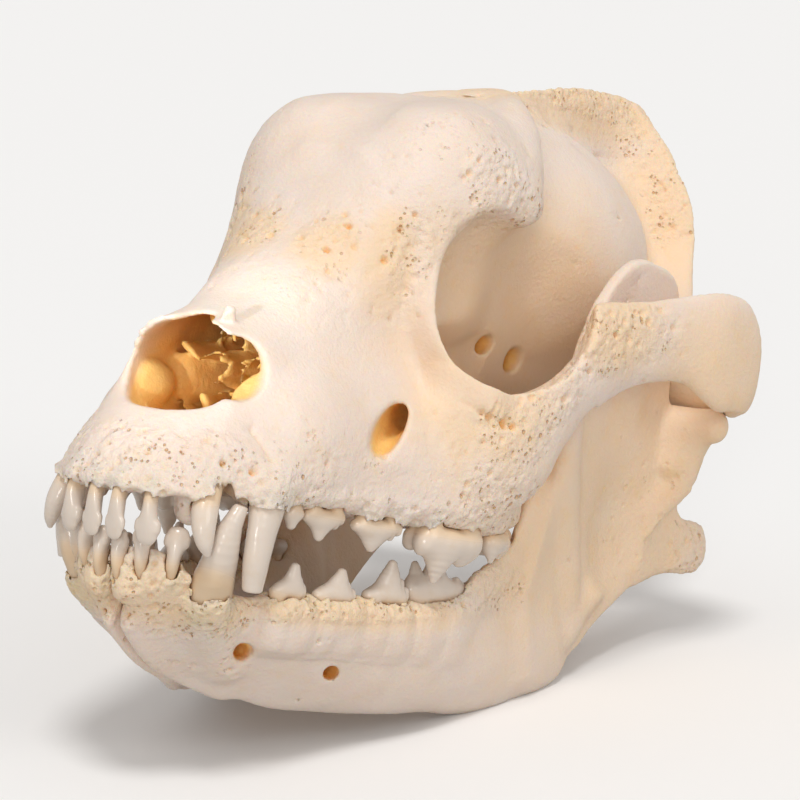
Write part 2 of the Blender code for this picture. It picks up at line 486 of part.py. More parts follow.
def cranium_field(step, teeth):
    """Left half of the cranium, which the mesh mirrors about x = 0."""
    bone = cranium_body(step)
    # Hollow of the nose, open in front, with a low wall on the midline and rolled bones beside it.
    bone.cut(hull([(2, 9.4, 21, 28, 33), (10, 11.8, 18.5, 28, 38), (18, 14.6, 15.5, 29, 40),
                   (26, 15.6, 13, 29, 41.3), (36, 16, 12, 30, 45), (48, 17.5, 11.5, 32, 51),
                   (60, 19, 11.5, 36, 55), (72, 18, 12, 36, 56), (84, 13, 14, 36, 52)], 2.5, 2.5), 1.5)
    bone.add(bar([(0, 26, 13, 5, 1.5), (0, 50, 13, 7, 1.5), (0, 74, 14, 12, 1.7), (0, 86, 20, 20, 2)]), 2)
    bone.add(bar([(19, 38, 26, 5, 3), (13.5, 44, 27, 6, 2.6), (12, 60, 28, 7, 2.6), (14, 80, 30, 9, 3)]), 2)
    bone.add(bar([(8, 44, 44, 4, 2), (8, 60, 47, 5, 2.4), (8, 82, 48, 8, 4)]), 2)
    # Edge of the nose opening: the nasal bones end in two points with a notch between them.
    bone.cut(bar([(0, 14, 46, 9, 7), (0, 23, 45, 7, 4.5), (0, 26, 45, 4, 2)], (0, 1, 0)), 2)
    # Holes: below the orbit, in the palate, at the back of the eye socket and for the spinal cord.
    bone.cut(bar([(41, 50, 17.4, 5.6, 3.6), (36.2, 60, 20, 6.0, 3.6), (31.8, 72, 23, 4.6, 3.0),
                  (28.6, 88, 25.6, 3, 2.6)], (0.2, 0, 1)), 1.5)
    bone.cut(bar([(7, 14, -3, 3, 2.2), (7, 14, 14, 3, 2.2)], (0, 1, 0)), 1)
    bone.cut(bar([(7.4, 20, -3, 3.4, 2.2), (7.2, 22, 14, 3.4, 2.2)], (0, 1, 0)), 1)
    bone.cut(rod([(29, 130, 47.6, 3.0), (19.5, 135.9, 45.7, 2.6), (10, 141, 44, 2.0)]), 1)
    bone.cut(rod([(31, 143, 44.4, 3.8), (21.3, 149.5, 42.2, 3.4), (11, 154, 40.6, 2.2)]), 1)
    bone.cut(bar([(0, 248, 62, 7.5, 9), (0, 234, 60, 7, 8.5), (0, 218, 62, 8, 10)], (0, 0, 1)), 2)
    bone.cut(blob((0, 186, 69), (30, 44, 32)), 1)
    bone.cut(blob((0, 148, 66), (16, 22, 19)), 4)
    bone.cut(bar([(0, 112, 4, 7, 8.5), (0, 128, 12, 9, 8.5), (0, 144, 14, 7, 9), (0, 158, 12, 6, 10)]), 2)
    # Vault of the palate between the tooth rows.
    bone.cut(hull([(6, 9, -20, -2, 1.2), (24, 17, -20, -1, 3.0), (60, 20, -20, 0, 4), (96, 27, -20, 0, 4.5),
                   (118, 24, -20, 0, 4), (132, 16, -20, 0, 4)], 2.4, 3), 2)
    # Notch worn through the margin between the third incisor and the canine.
    bone.cut(bar([(29, 1.5, -2.5, 6.4, 2.2), (25, 8.9, -2.5, 6.4, 2.2), (17.5, 21, -1.5, 6, 1.8)]), 1)
    bone.cut(teeth["lower_canine_left"].grown(BITE_GAP), 0.6)
    return bone


def jaw_head():
    """Condyle of the left jaw half: a bar across, thicker at its inner end."""
    return bar([(46.5, 189.5, 30.4, 4.8, 5.0), (56, 188.8, 30.6, 5.2, 4.8), (66.8, 188, 32.2, 4.8, 4.2)])


def ramus_middle(y, z):
    """x of the middle of the upright part of the jaw, which leans outwards upwards and backwards."""
    return 45.0 + 0.075 * (z + 20) + 0.055 * (y - 140)


def ramus_thick(y, z):
    """Half thickness of the upright part of the jaw: thin in the hollow for the chewing muscle."""
    hollow = np.exp(-(((y - 166) / 22) ** 2 + ((z - 14) / 30) ** 2))
    return np.clip(3.8 - 0.028 * (z - 10), 2.0, 4.2) - 1.4 * hollow


def jaw_field(step, teeth):
    """Left half of the lower jaw."""
    bone = grid((-2, -6, -60), (80, 238, 82), step)
    bone.add(bar([(8, 13, -26, 7, 6, 0.3, 0.3, 0.85), (11, 25, -32.5, 10.5, 6.2, 0.5, 0, 0.86),
                  (14.4, 36, -36.3, 13.4, 6.2, 0.48, 0, 0.88), (18, 48, -38.6, 15.8, 6.6, 0.48, 0, 0.88),
                  (21.2, 60, -39, 16.6, 6.7, 0.46, 0, 0.89), (24.6, 72, -38.8, 16.3, 6.8, 0.42, 0, 0.9),
                  (29.2, 86, -38.4, 15.5, 6.9, 0.34, 0, 0.94), (33.6, 101, -37.8, 15, 6.9, 0.24, 0, 0.97),
                  (37.4, 115, -37, 15.4, 6.6, 0.14, 0, 0.99), (40.6, 128, -34, 16.5, 6.2, 0.05, 0.05, 1),
                  (43.4, 139, -28, 15.4, 5.6, 0, 0.2, 1)], count=5))
    # Chin: the jaw halves meet along a long flat seam, and a crumbly ridge holds the front teeth.
    bone.add(bar([(3, 11, -29, 7, 3, 0, 0.6, 0.8), (3, 23, -36, 9, 3.5, 0, 0.6, 0.8),
                  (3.2, 36, -42.4, 6.4, 3.8, 0, 0.6, 0.8), (8.6, 46, -46.4, 6.6, 5, 0.3, 0.4, 0.85)]), 4)
    bone.add(bar([(3.5, 4.4, -23.4, 4.6, 3.6), (9.5, 6.8, -23, 4.8, 3.6), (15.5, 12, -23.6, 5, 4.6)]), 3.5)
    bone.add(bar([(3, 3.2, -18.8, 4.4, 2.8), (8.5, 5.6, -18.6, 4.4, 2.8), (12.5, 10.0, -19.4, 4, 2.8)]), 2)
    # Upright part with the coronoid process, the neck of the condyle and the hook of the angle.
    bone.add(plate([(124, -18), (126.5, 0), (129.5, 18), (131, 32), (135, 56), (141, 67),
                    (151, 73.5), (165, 73.5), (176, 69.5),
                    (181, 60), (182.5, 46), (186, 36), (195, 32), (198, 22), (199, 14), (201.5, 8), (202, 0),
                    (200, -9), (188, -13.5), (178, -18), (170, -23), (162, -29.5), (154, -35.5), (143, -42),
                    (131, -40)],
                   ramus_middle, ramus_thick), 7)
    bone.add(bar([(51, 129, 31, 3.6, 3.2), (49.5, 135, 8, 4.4, 3.8), (48, 144, -12, 4.6, 4.4),
                  (46, 149, -27, 5, 4.6)], (0, 1, 0)), 4)
    # Ramp of the alveolar border up to the coronoid process, on the cheek side of the last teeth.
    bone.add(bar([(38.2, 99, -26.5, 5, 3.2), (40.2, 106.5, -22.5, 5, 2.6), (41, 110.5, -18.9, 5, 2.3),
                  (41.8, 116.3, -15.5, 5, 2.2), (43, 122.5, -11, 5.2, 2.4), (43.8, 127, -3, 5, 2.6),
                  (45, 130.5, 8, 5, 2.8)], (0, -0.5, 0.86)), 4)
    bone.add(bar([(61, 192, 27, 4.5, 3.4), (57.5, 192, 17, 5.5, 3.6), (54, 182, 4, 5, 3.8),
                  (49, 163, -14, 4.6, 4.2), (46, 149, -28, 4.6, 4.6)], (0, 0.6, 0.8)), 4)
    bone.add(bar([(49, 184, -8.5, 6.4, 4.2), (52, 196, -4.4, 7.6, 4.2), (55, 205, -3.4, 8.0, 3.8),
                  (56.6, 211, -3.6, 7.2, 3.2)]), 4)
    bone.add(bar([(56.5, 190, 20, 7, 4.2), (57, 189.5, 29, 5.5, 5)], (0, 1, 0)), 4)
    bone.add(jaw_head(), 4)
    bone.cut(blob((59, 163, 8), (10.5, 18, 27), (14, 12, 0)), 3)
    bone.cut(blob((64, 190, -4), (9, 12, 14), (0, 0, 0)), 4)
    # Small holes on the side of the chin.
    bone.cut(rod([(24, 28.5, -38, 2.8), (18, 37.5, -37.8, 2.5), (13, 42, -37.8, 1.6)]), 0.8)
    bone.cut(rod([(32, 58.5, -42.2, 1.9), (26, 66.5, -41.8, 1.7), (22, 70.5, -41.2, 1.2)]), 0.8)
    # The chin's sides draw in towards its lower edge.
    for y, z, slope in ((0.8, -35.0, 0.67), (14.4, -43.0, 1.04)):
        bone.cut(half_space((0, y, z), (-0.87, 0.494, slope)), 3)
    # Swellings over the tooth roots along the upper edge.
    bone.add(rod([(16.8, 19, -24.6, 6.4), (12.6, 30, -34, 5.8), (10.8, 40, -41, 5)]), 3)
    for x, y in ((24.6, 40.5), (26.6, 47), (28.4, 56.5), (30.6, 64), (32.5, 73.5), (35, 81), (37, 91),
                 (39, 103)):
        bone.add(rod([(x - 1.0, y, -26.4, 3.8), (x - 2.0, y, -33.5, 3.4)]), 5)
    bone.add(bar([(23.1, 40.5, -29, 6, 3.5), (26.9, 56.5, -29, 6, 3.5), (31, 73.5, -29, 6, 3.5),
                  (35.4, 91, -29, 6, 3.5), (37.4, 103, -28, 6, 3.4)]), 4)
    for name in ("upper_canine_left", "upper_molar_1_left", "upper_molar_2_left"):
        bone.cut(teeth[name].grown(BITE_GAP), 0.6)
    bone.cut(half_space((SYMPHYSIS_GAP / 2, 0, 0), (1, 0, 0)))
    return bone


# Corners of a cell, as (x, y, z) steps, and the twelve edges between them.
CORNERS = np.array([(i, j, k) for i in (0, 1) for j in (0, 1) for k in (0, 1)])
EDGES = [(a, b) for a in range(8) for b in range(a + 1, 8) if np.abs(CORNERS[a] - CORNERS[b]).sum() == 1]


def splits(case):
    """True for a cell whose surface would touch itself.

    On one of its sides only two opposite corners are inside, or its corners fall into two parts.
    """
    for axis in range(3):
        for side in (0, 1):
            inside = [c for c in range(8) if CORNERS[c][axis] == side and case >> c & 1]
            if len(inside) == 2 and np.abs(CORNERS[inside[0]] - CORNERS[inside[1]]).sum() == 2:
                return True
    for wanted in (True, False):
        left = {c for c in range(8) if bool(case >> c & 1) == wanted}
        if not left:
            continue
        reached, todo = set(), [min(left)]
        while todo:
            corner = todo.pop()
            reached.add(corner)
            todo += [b if a == corner else a for a, b in EDGES
                     if corner in (a, b) and (b if a == corner else a) in left - reached]
        if reached != left:
            return True
    return False


SPLIT = np.array([splits(case) for case in range(256)])


def cells(values):
    """Number of each cell's case: one bit for each corner that is inside."""
    inside = values < 0
    case = np.zeros([n - 1 for n in values.shape], np.uint8)
    for bit, (i, j, k) in enumerate(CORNERS):
        corner = inside[i:i + case.shape[0], j:j + case.shape[1], k:k + case.shape[2]]
        case |= corner.astype(np.uint8) << bit
    return case


def surface(values, low, step):
    """Vertices and four-sided faces of the closed surface where the values cross zero."""
    values = np.pad(values, 1, constant_values=FAR)
    low = np.asarray(low, float) - step
    for _ in range(40):
        where = np.argwhere(SPLIT[cells(values)])
        if not len(where):
            break
        for corner in CORNERS:
            at = tuple((where + corner).T)
            values[at] = np.where(values[at] > 0, -0.05 * step, values[at])
    case = cells(values)
    active = np.argwhere((case > 0) & (case < 255))
    number = np.full(case.shape, -1, np.int64)
    number[tuple(active.T)] = np.arange(len(active))
    corner_values = np.stack([values[tuple((active + corner).T)] for corner in CORNERS], axis=1)
    total = np.zeros((len(active), 3))
    crossings = np.zeros(len(active))
    for a, b in EDGES:
        va, vb = corner_values[:, a], corner_values[:, b]
        crosses = (va < 0) != (vb < 0)
        part = np.where(crosses, va / np.where(crosses, va - vb, 1), 0)[:, None]
        total += np.where(crosses[:, None], CORNERS[a] + part * (CORNERS[b] - CORNERS[a]), 0)
        crossings += crosses
    points = low + step * (active + total / crossings[:, None])
    faces = []
    inside = values < 0
    for axis in range(3):
        one, two = [(1, 2), (2, 0), (0, 1)][axis]
        here = np.take(inside, np.arange(inside.shape[axis] - 1), axis)
        there = np.take(inside, np.arange(1, inside.shape[axis]), axis)
        for flips, start in ((False, here & ~there), (True, ~here & there)):
            edge = np.argwhere(start)
            step_one, step_two = np.eye(3, dtype=int)[one], np.eye(3, dtype=int)[two]
            quad = [number[tuple((edge - a * step_one - b * step_two).T)]
                    for a, b in ((1, 1), (0, 1), (0, 0), (1, 0))]
            quad = np.stack(quad[::-1] if flips else quad, axis=1)
            faces.append(quad)
    return points, np.concatenate(faces)


def largest_shell(points, faces):
    """The connected shell with the most vertices: leaves out crumbs and closed hollows."""
    label = np.arange(len(points))
    while True:
        smallest = label[faces].min(axis=1)
        fresh = label.copy()
        for corner in range(4):
            np.minimum.at(fresh, faces[:, corner], smallest)
        fresh = fresh[fresh]
        if (fresh == label).all():
            break
        label = fresh
    kept = label == np.bincount(label).argmax()
    renumber = np.cumsum(kept) - 1
    return points[kept], renumber[faces[kept[faces[:, 0]]]]


def relaxed(points, faces, rounds, amount):
    """Points moved towards the mean of their neighbours, then back, which smooths without shrinking."""
    a = faces.ravel()
    b = np.roll(faces, -1, axis=1).ravel()
    count = np.bincount(a, minlength=len(points)) + np.bincount(b, minlength=len(points))
    for i in range(2 * rounds):
        total = np.zeros_like(points)
        for axis in range(3):
            total[:, axis] = (np.bincount(a, points[b, axis], len(points))
                              + np.bincount(b, points[a, axis], len(points)))
        push = amount if i % 2 == 0 else -1.03 * amount
        points = points + push * (total / count[:, None] - points)
    return points


def swept(points):
    """Points of the skull with the rear of each side drawn in and back."""
    x, y, z = points[:, 0], points[:, 1], points[:, 2]
    part = np.clip((y - SWEEP_FROM) / (SWEEP_TO - SWEEP_FROM), 0, 1)
    amount = SWEEP * part * part * (3 - 2 * part) * np.abs(x) / np.sqrt(1 + (x / SWEEP_REACH) ** 2)
    return np.stack([x + np.sign(x) * SWEEP_WAY[0] * amount, y + SWEEP_WAY[1] * amount,
                     z + (SWEEP_FALL[0] + SWEEP_FALL[1] * z) * amount], axis=1)


def to_rest(points):
    """From the skull's own frame to the one in which it lies: swept, and turned nose-up about X."""
    c, s = math.cos(math.radians(REST_PITCH)), math.sin(math.radians(REST_PITCH))
    x, y, z = swept(points).T
    return np.stack([x, y * c + z * s, -y * s + z * c], axis=1)


def bone_shape(field, mirror):
    """Smoothed points and faces of a bone's surface, of both halves when mirror is set."""
    values = field.values
    low = [float(axis[0]) for axis in field.axes]
    if mirror:
        values = np.concatenate([values[:0:-1], values])
        low[0] = -float(field.axes[0][-1])
    points, faces = largest_shell(*surface(values, low, field.step))
    return relaxed(points, faces, 2, 0.5), faces


def tooth_shape(name, tooth, step):
    field = grid(tooth.low - 3 * step, tooth.high + 3 * step, step)
    field.add(tooth)
    if name in WORN_TIPS:
        field.cut(half_space(*WORN_TIPS[name]), 0.8)
    return largest_shell(*surface(field.values, [float(axis[0]) for axis in field.axes], step))


def material(name, colour, roughness):
    made = bpy.data.materials.new(name)
    made.use_nodes = True
    shader = made.node_tree.nodes["Principled BSDF"]
    shader.inputs["Base Color"].default_value = colour
    shader.inputs["Roughness"].default_value = roughness
    shader.inputs["Metallic"].default_value = 0.0
    return made


def thinned(points, faces, budget):
    """Points and triangles of the same shape with about budget triangles."""
    mesh = bpy.data.meshes.new("full")
    mesh.from_pydata(points.tolist(), [], faces.tolist())
    full = bpy.data.objects.new("full", mesh)
    bpy.context.scene.collection.objects.link(full)
    thin = full.modifiers.new("Thin out", "DECIMATE")
    thin.ratio = min(1.0, budget / (2 * len(faces)))
    result = full.evaluated_get(bpy.context.evaluated_depsgraph_get()).data
    result.calc_loop_triangles()
    corners = np.array([vertex.co for vertex in result.vertices])
    triangles = np.array([triangle.vertices for triangle in result.loop_triangles])
    bpy.data.objects.remove(full, do_unlink=True)
    bpy.data.meshes.remove(mesh)
    return corners, triangles


def mirrored(points, faces):
    return points * np.array([-1, 1, 1]), faces[:, ::-1]


def swollen(points, triangles, by):
    """The same closed shape with each of its triangles moved outwards."""
    a, b, c = [points[triangles[:, corner]] for corner in range(3)]
    normals = np.cross(b - a, c - a)
    normals /= np.maximum(np.linalg.norm(normals, axis=1), 1e-9)[:, None]
    push = np.zeros_like(points)
    for corner in range(3):
        np.add.at(push, triangles[:, corner], normals)
    push /= np.maximum(np.linalg.norm(push, axis=1), 1e-9)[:, None]
    lean = np.ones(len(points))
    for corner in range(3):
        np.minimum.at(lean, triangles[:, corner], (push[triangles[:, corner]] * normals).sum(axis=1))
    return points + push * (by / np.clip(lean, 0.5, 1))[:, None], triangles


def joined(shapes):
    """One mesh of several closed shapes."""
    starts = np.cumsum([0] + [len(points) for points, _ in shapes])
    return (np.concatenate([points for points, _ in shapes]),
            np.concatenate([faces + start for (_, faces), start in zip(shapes, starts)]))


def add_object(name, points, faces, collection):
    mesh = bpy.data.meshes.new(name)
    mesh.from_pydata((points / 1000).tolist(), [], faces.tolist())
    mesh.shade_smooth()
    made = bpy.data.objects.new(name, mesh)
    collection.objects.link(made)
    return made


def add_cut(made, cutter, name):
    """Boolean modifier that takes the cutter away, and the cutter hidden."""
    cutter.hide_render = True
    cutter.display_type = "WIRE"
    cut = made.modifiers.new(name, "BOOLEAN")
    cut.operation = "DIFFERENCE"
    cut.solver = "EXACT"
    cut.object = cutter


def add_collection(name):
    made = bpy.data.collections.new(name)
    bpy.context.scene.collection.children.link(made)
    return made


def main():
    for item in list(bpy.data.objects):
        bpy.data.objects.remove(item, do_unlink=True)
    skull = add_collection("saint_bernard_skull")
    cutters = add_collection("cutters")
    teeth = left_teeth()
    cranium = bone_shape(cranium_field(BONE_STEP, teeth), True)
    jaw = bone_shape(jaw_field(BONE_STEP, teeth), False)
    crowns = {name: tooth_shape(name, tooth, TOOTH_STEP) for name, tooth in teeth.items()}
    everything = to_rest(np.concatenate([cranium[0], jaw[0]] + [points for points, _ in crowns.values()]))
    floor = to_rest(jaw[0])[:, 2].min() + FLAT_DEPTH
    shift = np.array([0.0, (everything[:, 1].min() + everything[:, 1].max()) / 2, floor])

    laid = thinned(to_rest(jaw[0]) - shift, jaw[1], JAW_FACES)
    laid[0][:, 0] = np.maximum(laid[0][:, 0], SYMPHYSIS_GAP / 2)
    pieces = {"cranium": thinned(to_rest(cranium[0]) - shift, cranium[1], CRANIUM_FACES),
              "mandible_left": laid, "mandible_right": mirrored(*laid)}
    head = grid(*[side + by for side, by in ((jaw_head().low, -4), (jaw_head().high, 4))], BONE_STEP)
    head.add(jaw_head().grown(JAW_GAP))
    points, faces = surface(head.values, [float(axis[0]) for axis in head.axes], BONE_STEP)
    joint = thinned(to_rest(points) - shift, faces, JOINT_FACES)
    for name, (points, faces) in crowns.items():
        budget = next(count for word, count in TOOTH_FACES.items() if word in name)
        pieces[name] = thinned(to_rest(points) - shift, faces, budget)
        pieces[name.replace("_left", "_right")] = mirrored(*pieces[name])

    for name, (points, faces) in pieces.items():
        is_bone = name in ("cranium", "mandible_left", "mandible_right")
        made = add_object(name, points, faces, skull)
        look = (BONE_COLOUR, BONE_ROUGHNESS) if is_bone else (TOOTH_COLOUR, TOOTH_ROUGHNESS)
        made.data.materials.append(material(name, *look))
    # The two flats that the jaw rests on.
    corners = np.array([(x, y, z) for x in (-60, 60) for y in (-60, 60) for z in (-10, 0)], float)
    sides = np.array([(0, 1, 3, 2), (4, 6, 7, 5), (0, 4, 5, 1), (2, 3, 7, 6), (0, 2, 6, 4), (1, 5, 7, 3)])
    ground = add_object("ground", corners, sides, cutters)
    for name in ("mandible_left", "mandible_right"):
        add_cut(bpy.data.objects[name], ground, "Flat")
    # Rooms for the teeth are cut in two turns on each side, because the rooms of neighbours may touch.
    owners = {"upper": ("cranium", "cranium"), "lower": ("mandible_left", "mandible_right")}
    for jaw_name, bones in owners.items():
        row = [name for name in teeth if name.startswith(jaw_name)]
        row.sort(key=lambda name: pieces[name][0][:, 1].mean())
        for turn in (0, 1):
            rooms = [swollen(*pieces[name], SOCKET_GAP) for name in row[turn::2]]
            if jaw_name == "upper" and turn == 0:
                rooms.append(joint)
            room = joined(rooms)
            for bone, side, shape in ((bones[0], "left", room), (bones[1], "right", mirrored(*room))):
                cutter = add_object("%s_rooms_%s_%d" % (jaw_name, side, turn + 1), *shape, cutters)
                add_cut(bpy.data.objects[bone], cutter, "Rooms %s %d" % (side, turn + 1))
    return shift


if __name__ == "__main__":
    main()
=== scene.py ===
import math

import bpy
import numpy as np
from bpy.props import FloatProperty, FloatVectorProperty, IntProperty, PointerProperty
from mathutils import Euler, Matrix, Vector, kdtree, noise


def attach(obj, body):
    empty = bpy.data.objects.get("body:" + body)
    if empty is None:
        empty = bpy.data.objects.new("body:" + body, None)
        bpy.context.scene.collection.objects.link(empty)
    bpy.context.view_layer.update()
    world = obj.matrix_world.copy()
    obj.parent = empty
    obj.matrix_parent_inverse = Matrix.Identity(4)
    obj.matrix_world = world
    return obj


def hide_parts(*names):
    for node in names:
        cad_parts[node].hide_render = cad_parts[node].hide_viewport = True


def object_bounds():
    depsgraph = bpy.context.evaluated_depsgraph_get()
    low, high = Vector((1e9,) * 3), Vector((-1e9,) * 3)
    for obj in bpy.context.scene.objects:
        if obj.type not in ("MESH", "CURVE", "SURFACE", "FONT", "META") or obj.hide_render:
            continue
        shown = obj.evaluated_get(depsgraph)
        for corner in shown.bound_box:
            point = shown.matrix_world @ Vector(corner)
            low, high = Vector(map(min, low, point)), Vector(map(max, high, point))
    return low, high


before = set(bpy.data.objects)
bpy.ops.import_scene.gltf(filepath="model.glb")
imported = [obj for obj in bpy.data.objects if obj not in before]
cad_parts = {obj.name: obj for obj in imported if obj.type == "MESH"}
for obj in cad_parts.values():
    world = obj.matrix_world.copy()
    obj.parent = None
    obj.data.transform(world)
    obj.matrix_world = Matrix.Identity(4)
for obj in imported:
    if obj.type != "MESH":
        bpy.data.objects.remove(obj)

bl_info = {
    "name": "Saint Bernard Skull",
    "version": (1, 0, 0),
    "blender": (4, 5, 0),
    "location": "3D View > Sidebar > Skull",
    "description": "Bones, teeth and bone surface of a dog's skull on its solid frame",
    "category": "Object",
}

# The skull's own frame is in millimetres: the origin is the margin between the first upper incisors,
# +X is the animal's left, the nose points along -Y, and Z is square to the palate.
CAD_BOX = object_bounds()
REST_PITCH = 12.0  # degrees that the palate tips nose-up when the jaw lies on a table
REST_SHIFT = np.array([0.0, 130.67279653, -77.27985541])  # middle of the length, and the table, once tipped
SWEEP = 0.46  # how far the rear of each side is drawn in and back, for each millimetre of its width
SWEEP_FROM, SWEEP_TO = 88.0, 150.0  # where along Y the sweep starts and where it is full
SWEEP_REACH = 60.0  # distance from the midline past which the sweep grows no further
SWEEP_WAY = (-0.415, 0.905)  # direction of the sweep on the left side, in X and Y
SWEEP_FALL = (-0.047, 0.0012)  # its direction in Z on the plane z = 0, and for each millimetre above
SYMPHYSIS_GAP = 0.5  # width of the fissure between the jaw halves
BITE_GAP = 0.7  # clearance between a bone and the teeth of the other jaw
JAW_GAP = 0.5  # clearance in the two jaw joints
FAR = 1e3  # distance that a field holds where no form reaches
NUDGE_ROUNDS = 40  # times at most that the grid is mended where a surface would touch itself
NUDGE = 0.05  # depth, in steps, that such a corner is pushed inside
PUSH_BACK = 1.03  # how much further a relaxed surface is pushed back out than it was drawn in
WORN_TIPS = {"upper_canine_left": ((26.9, 22.7, -21.2), (0.1, -0.1, 1)),  # a point and the normal
             "lower_canine_left": ((24.4, 16.4, -1.0), (-0.2, -0.1, -1))}  # of the flat on the tip

# Camera of the photograph in the skull's own frame: where it is, and its right, up and back.
CAMERA_AT = np.array([403.1, -582.5, 38.7])
CAMERA_AXES = np.array([[0.86021454, 0.49022919, 0.1403791],
                        [-0.12895517, -0.05721002, 0.98999878],
                        [0.49335739, -0.86971395, 0.0140047]])


def smooth_min(a, b, blend):
    """Smaller of two distances, rounded where they are within blend of each other."""
    if blend <= 0:
        return np.minimum(a, b)
    near = np.maximum(blend - np.abs(a - b), 0) / blend
    return np.minimum(a, b) - near * near * (blend / 4)


class Form:
    """A closed form: the box that holds it, and its signed distance, which is negative inside."""

    def __init__(self, low, high, distance):
        self.low = np.asarray(low, float)
        self.high = np.asarray(high, float)
        self.distance = distance

    def grown(self, by):
        """The same form with its surface moved outwards."""
        return Form(self.low - by, self.high + by, lambda x, y, z: self.distance(x, y, z) - by)


class Group:
    """Forms joined one after another, each with its own blend."""

    def __init__(self, *items):
        self.items = [item if isinstance(item, tuple) else (item, 0.0) for item in items]
        self.low = np.min([form.low for form, _ in self.items], axis=0)
        self.high = np.max([form.high for form, _ in self.items], axis=0)

    def grown(self, by):
        """The same forms with their surface moved outwards."""
        return Group(*[(form.grown(by), blend) for form, blend in self.items])


class Field:
    """Distances to a surface, kept on a regular grid."""

    def __init__(self, axes, step):
        self.axes = axes
        self.step = step
        self.values = np.full([axis.size for axis in axes], FAR, np.float32)

    @property
    def low(self):
        """The grid's lowest corner."""
        return np.array([axis[0] for axis in self.axes], float)

    def combine(self, form, blend, join):
        """Joins a form to the field, or cuts it out, with the edge between them rounded by blend."""
        margin = blend + 2.5 * self.step
        where = tuple(slice(*np.searchsorted(axis, (a - margin, b + margin)))
                      for axis, a, b in zip(self.axes, form.low, form.high))
        x, y, z = [axis[part] for axis, part in zip(self.axes, where)]
        if not (x.size and y.size and z.size):
            return
        if isinstance(form, Group):
            inner = Field([x, y, z], self.step)
            for item, own in form.items:
                inner.combine(item, own, True)
            distance = inner.values
        else:
            distance = form.distance(x[:, None, None], y[None, :, None], z[None, None, :])
        if join:
            self.values[where] = smooth_min(self.values[where], distance, blend)
        else:
            self.values[where] = -smooth_min(-self.values[where], distance, blend)

    def add(self, form, blend=0.0):
        self.combine(form, blend, True)

    def cut(self, form, blend=0.0):
        self.combine(form, blend, False)


def grid(low, high, step):
    """Empty field over the box between two corners."""
    return Field([a + step * np.arange(math.ceil((b - a) / step) + 1, dtype=np.float32)
                  for a, b in zip(low, high)], step)


def blob(centre, radii, turn=(0, 0, 0)):
    """Ellipsoid, turned about its centre by degrees about X, then Y, then Z."""
    centre = np.array(centre, float)
    radii = np.array(radii, float)
    axes = np.array(Euler([math.radians(t) for t in turn]).to_matrix())
    reach = np.sqrt(((axes * radii) ** 2).sum(axis=1))

    def distance(x, y, z):
        own = [axes[0, i] * (x - centre[0]) + axes[1, i] * (y - centre[1]) + axes[2, i] * (z - centre[2])
               for i in range(3)]
        near = np.sqrt(sum((own[i] / radii[i]) ** 2 for i in range(3)))
        slope = np.sqrt(sum((own[i] / radii[i] ** 2) ** 2 for i in range(3)))
        return near * (near - 1) / np.maximum(slope, 1e-6)

    return Form(centre - reach, centre + reach, distance)


def through(knots, count):
    """Points on a smooth curve through the knots (rows of any numbers), count of them to each span."""
    knots = np.array(knots, float)
    padded = np.vstack([2 * knots[0] - knots[1], knots, 2 * knots[-1] - knots[-2]])
    rows = []
    for i in range(1, len(padded) - 2):
        before, here, there, after = padded[i - 1:i + 3]
        for t in np.arange(count) / count:
            rows.append(0.5 * (2 * here + (there - before) * t
                               + (2 * before - 5 * here + 4 * there - after) * t * t
                               + (3 * here - before - 3 * there + after) * t ** 3))
    rows.append(knots[-1])
    return np.array(rows)


def link(start, end, tall, wide, up):
    """Straight length of bar whose section is an ellipse: tall along up and wide across it."""
    start, end = np.array(start, float), np.array(end, float)
    axis = end - start
    length = np.linalg.norm(axis)
    axis = axis / max(length, 1e-9)
    side = np.cross(axis, up)
    side = side / max(np.linalg.norm(side), 1e-9)
    rise = np.cross(side, axis)
    reach = max(max(tall), max(wide))

    def distance(x, y, z):
        dx, dy, dz = x - start[0], y - start[1], z - start[2]
        along = dx * axis[0] + dy * axis[1] + dz * axis[2]
        inside = np.clip(along, 0, length)
        part = inside / max(length, 1e-9)
        high = tall[0] + (tall[1] - tall[0]) * part
        broad = wide[0] + (wide[1] - wide[0]) * part
        u = dx * rise[0] + dy * rise[1] + dz * rise[2]
        s = dx * side[0] + dy * side[1] + dz * side[2]
        beyond = along - inside
        short = np.minimum(high, broad)
        near = np.sqrt((u / high) ** 2 + (s / broad) ** 2 + (beyond / short) ** 2)
        slope = np.sqrt((u / high ** 2) ** 2 + (s / broad ** 2) ** 2 + (beyond / short ** 2) ** 2)
        return near * (near - 1) / np.maximum(slope, 1e-6)

    return Form(np.minimum(start, end) - reach, np.maximum(start, end) + reach, distance)


def bar(knots, up=(0, 0, 1), count=4):
    """Curved bar. Each knot is x, y, z, half height, half width, and may end with its own up vector."""
    full = [tuple(knot) + (tuple(up) if len(knot) == 5 else ()) for knot in knots]
    rows = through(full, count)
    links = [link(a[:3], b[:3], (max(a[3], 0.3), max(b[3], 0.3)), (max(a[4], 0.3), max(b[4], 0.3)),
                  (a[5:8] + b[5:8]) / 2) for a, b in zip(rows, rows[1:])]
    return Group(*links)


def rod(knots, count=4):
    """Curved round bar. Each knot is x, y, z, radius."""
    return bar([(x, y, z, r, r) for x, y, z, r in knots], (0.31, 0.17, 0.94), count)


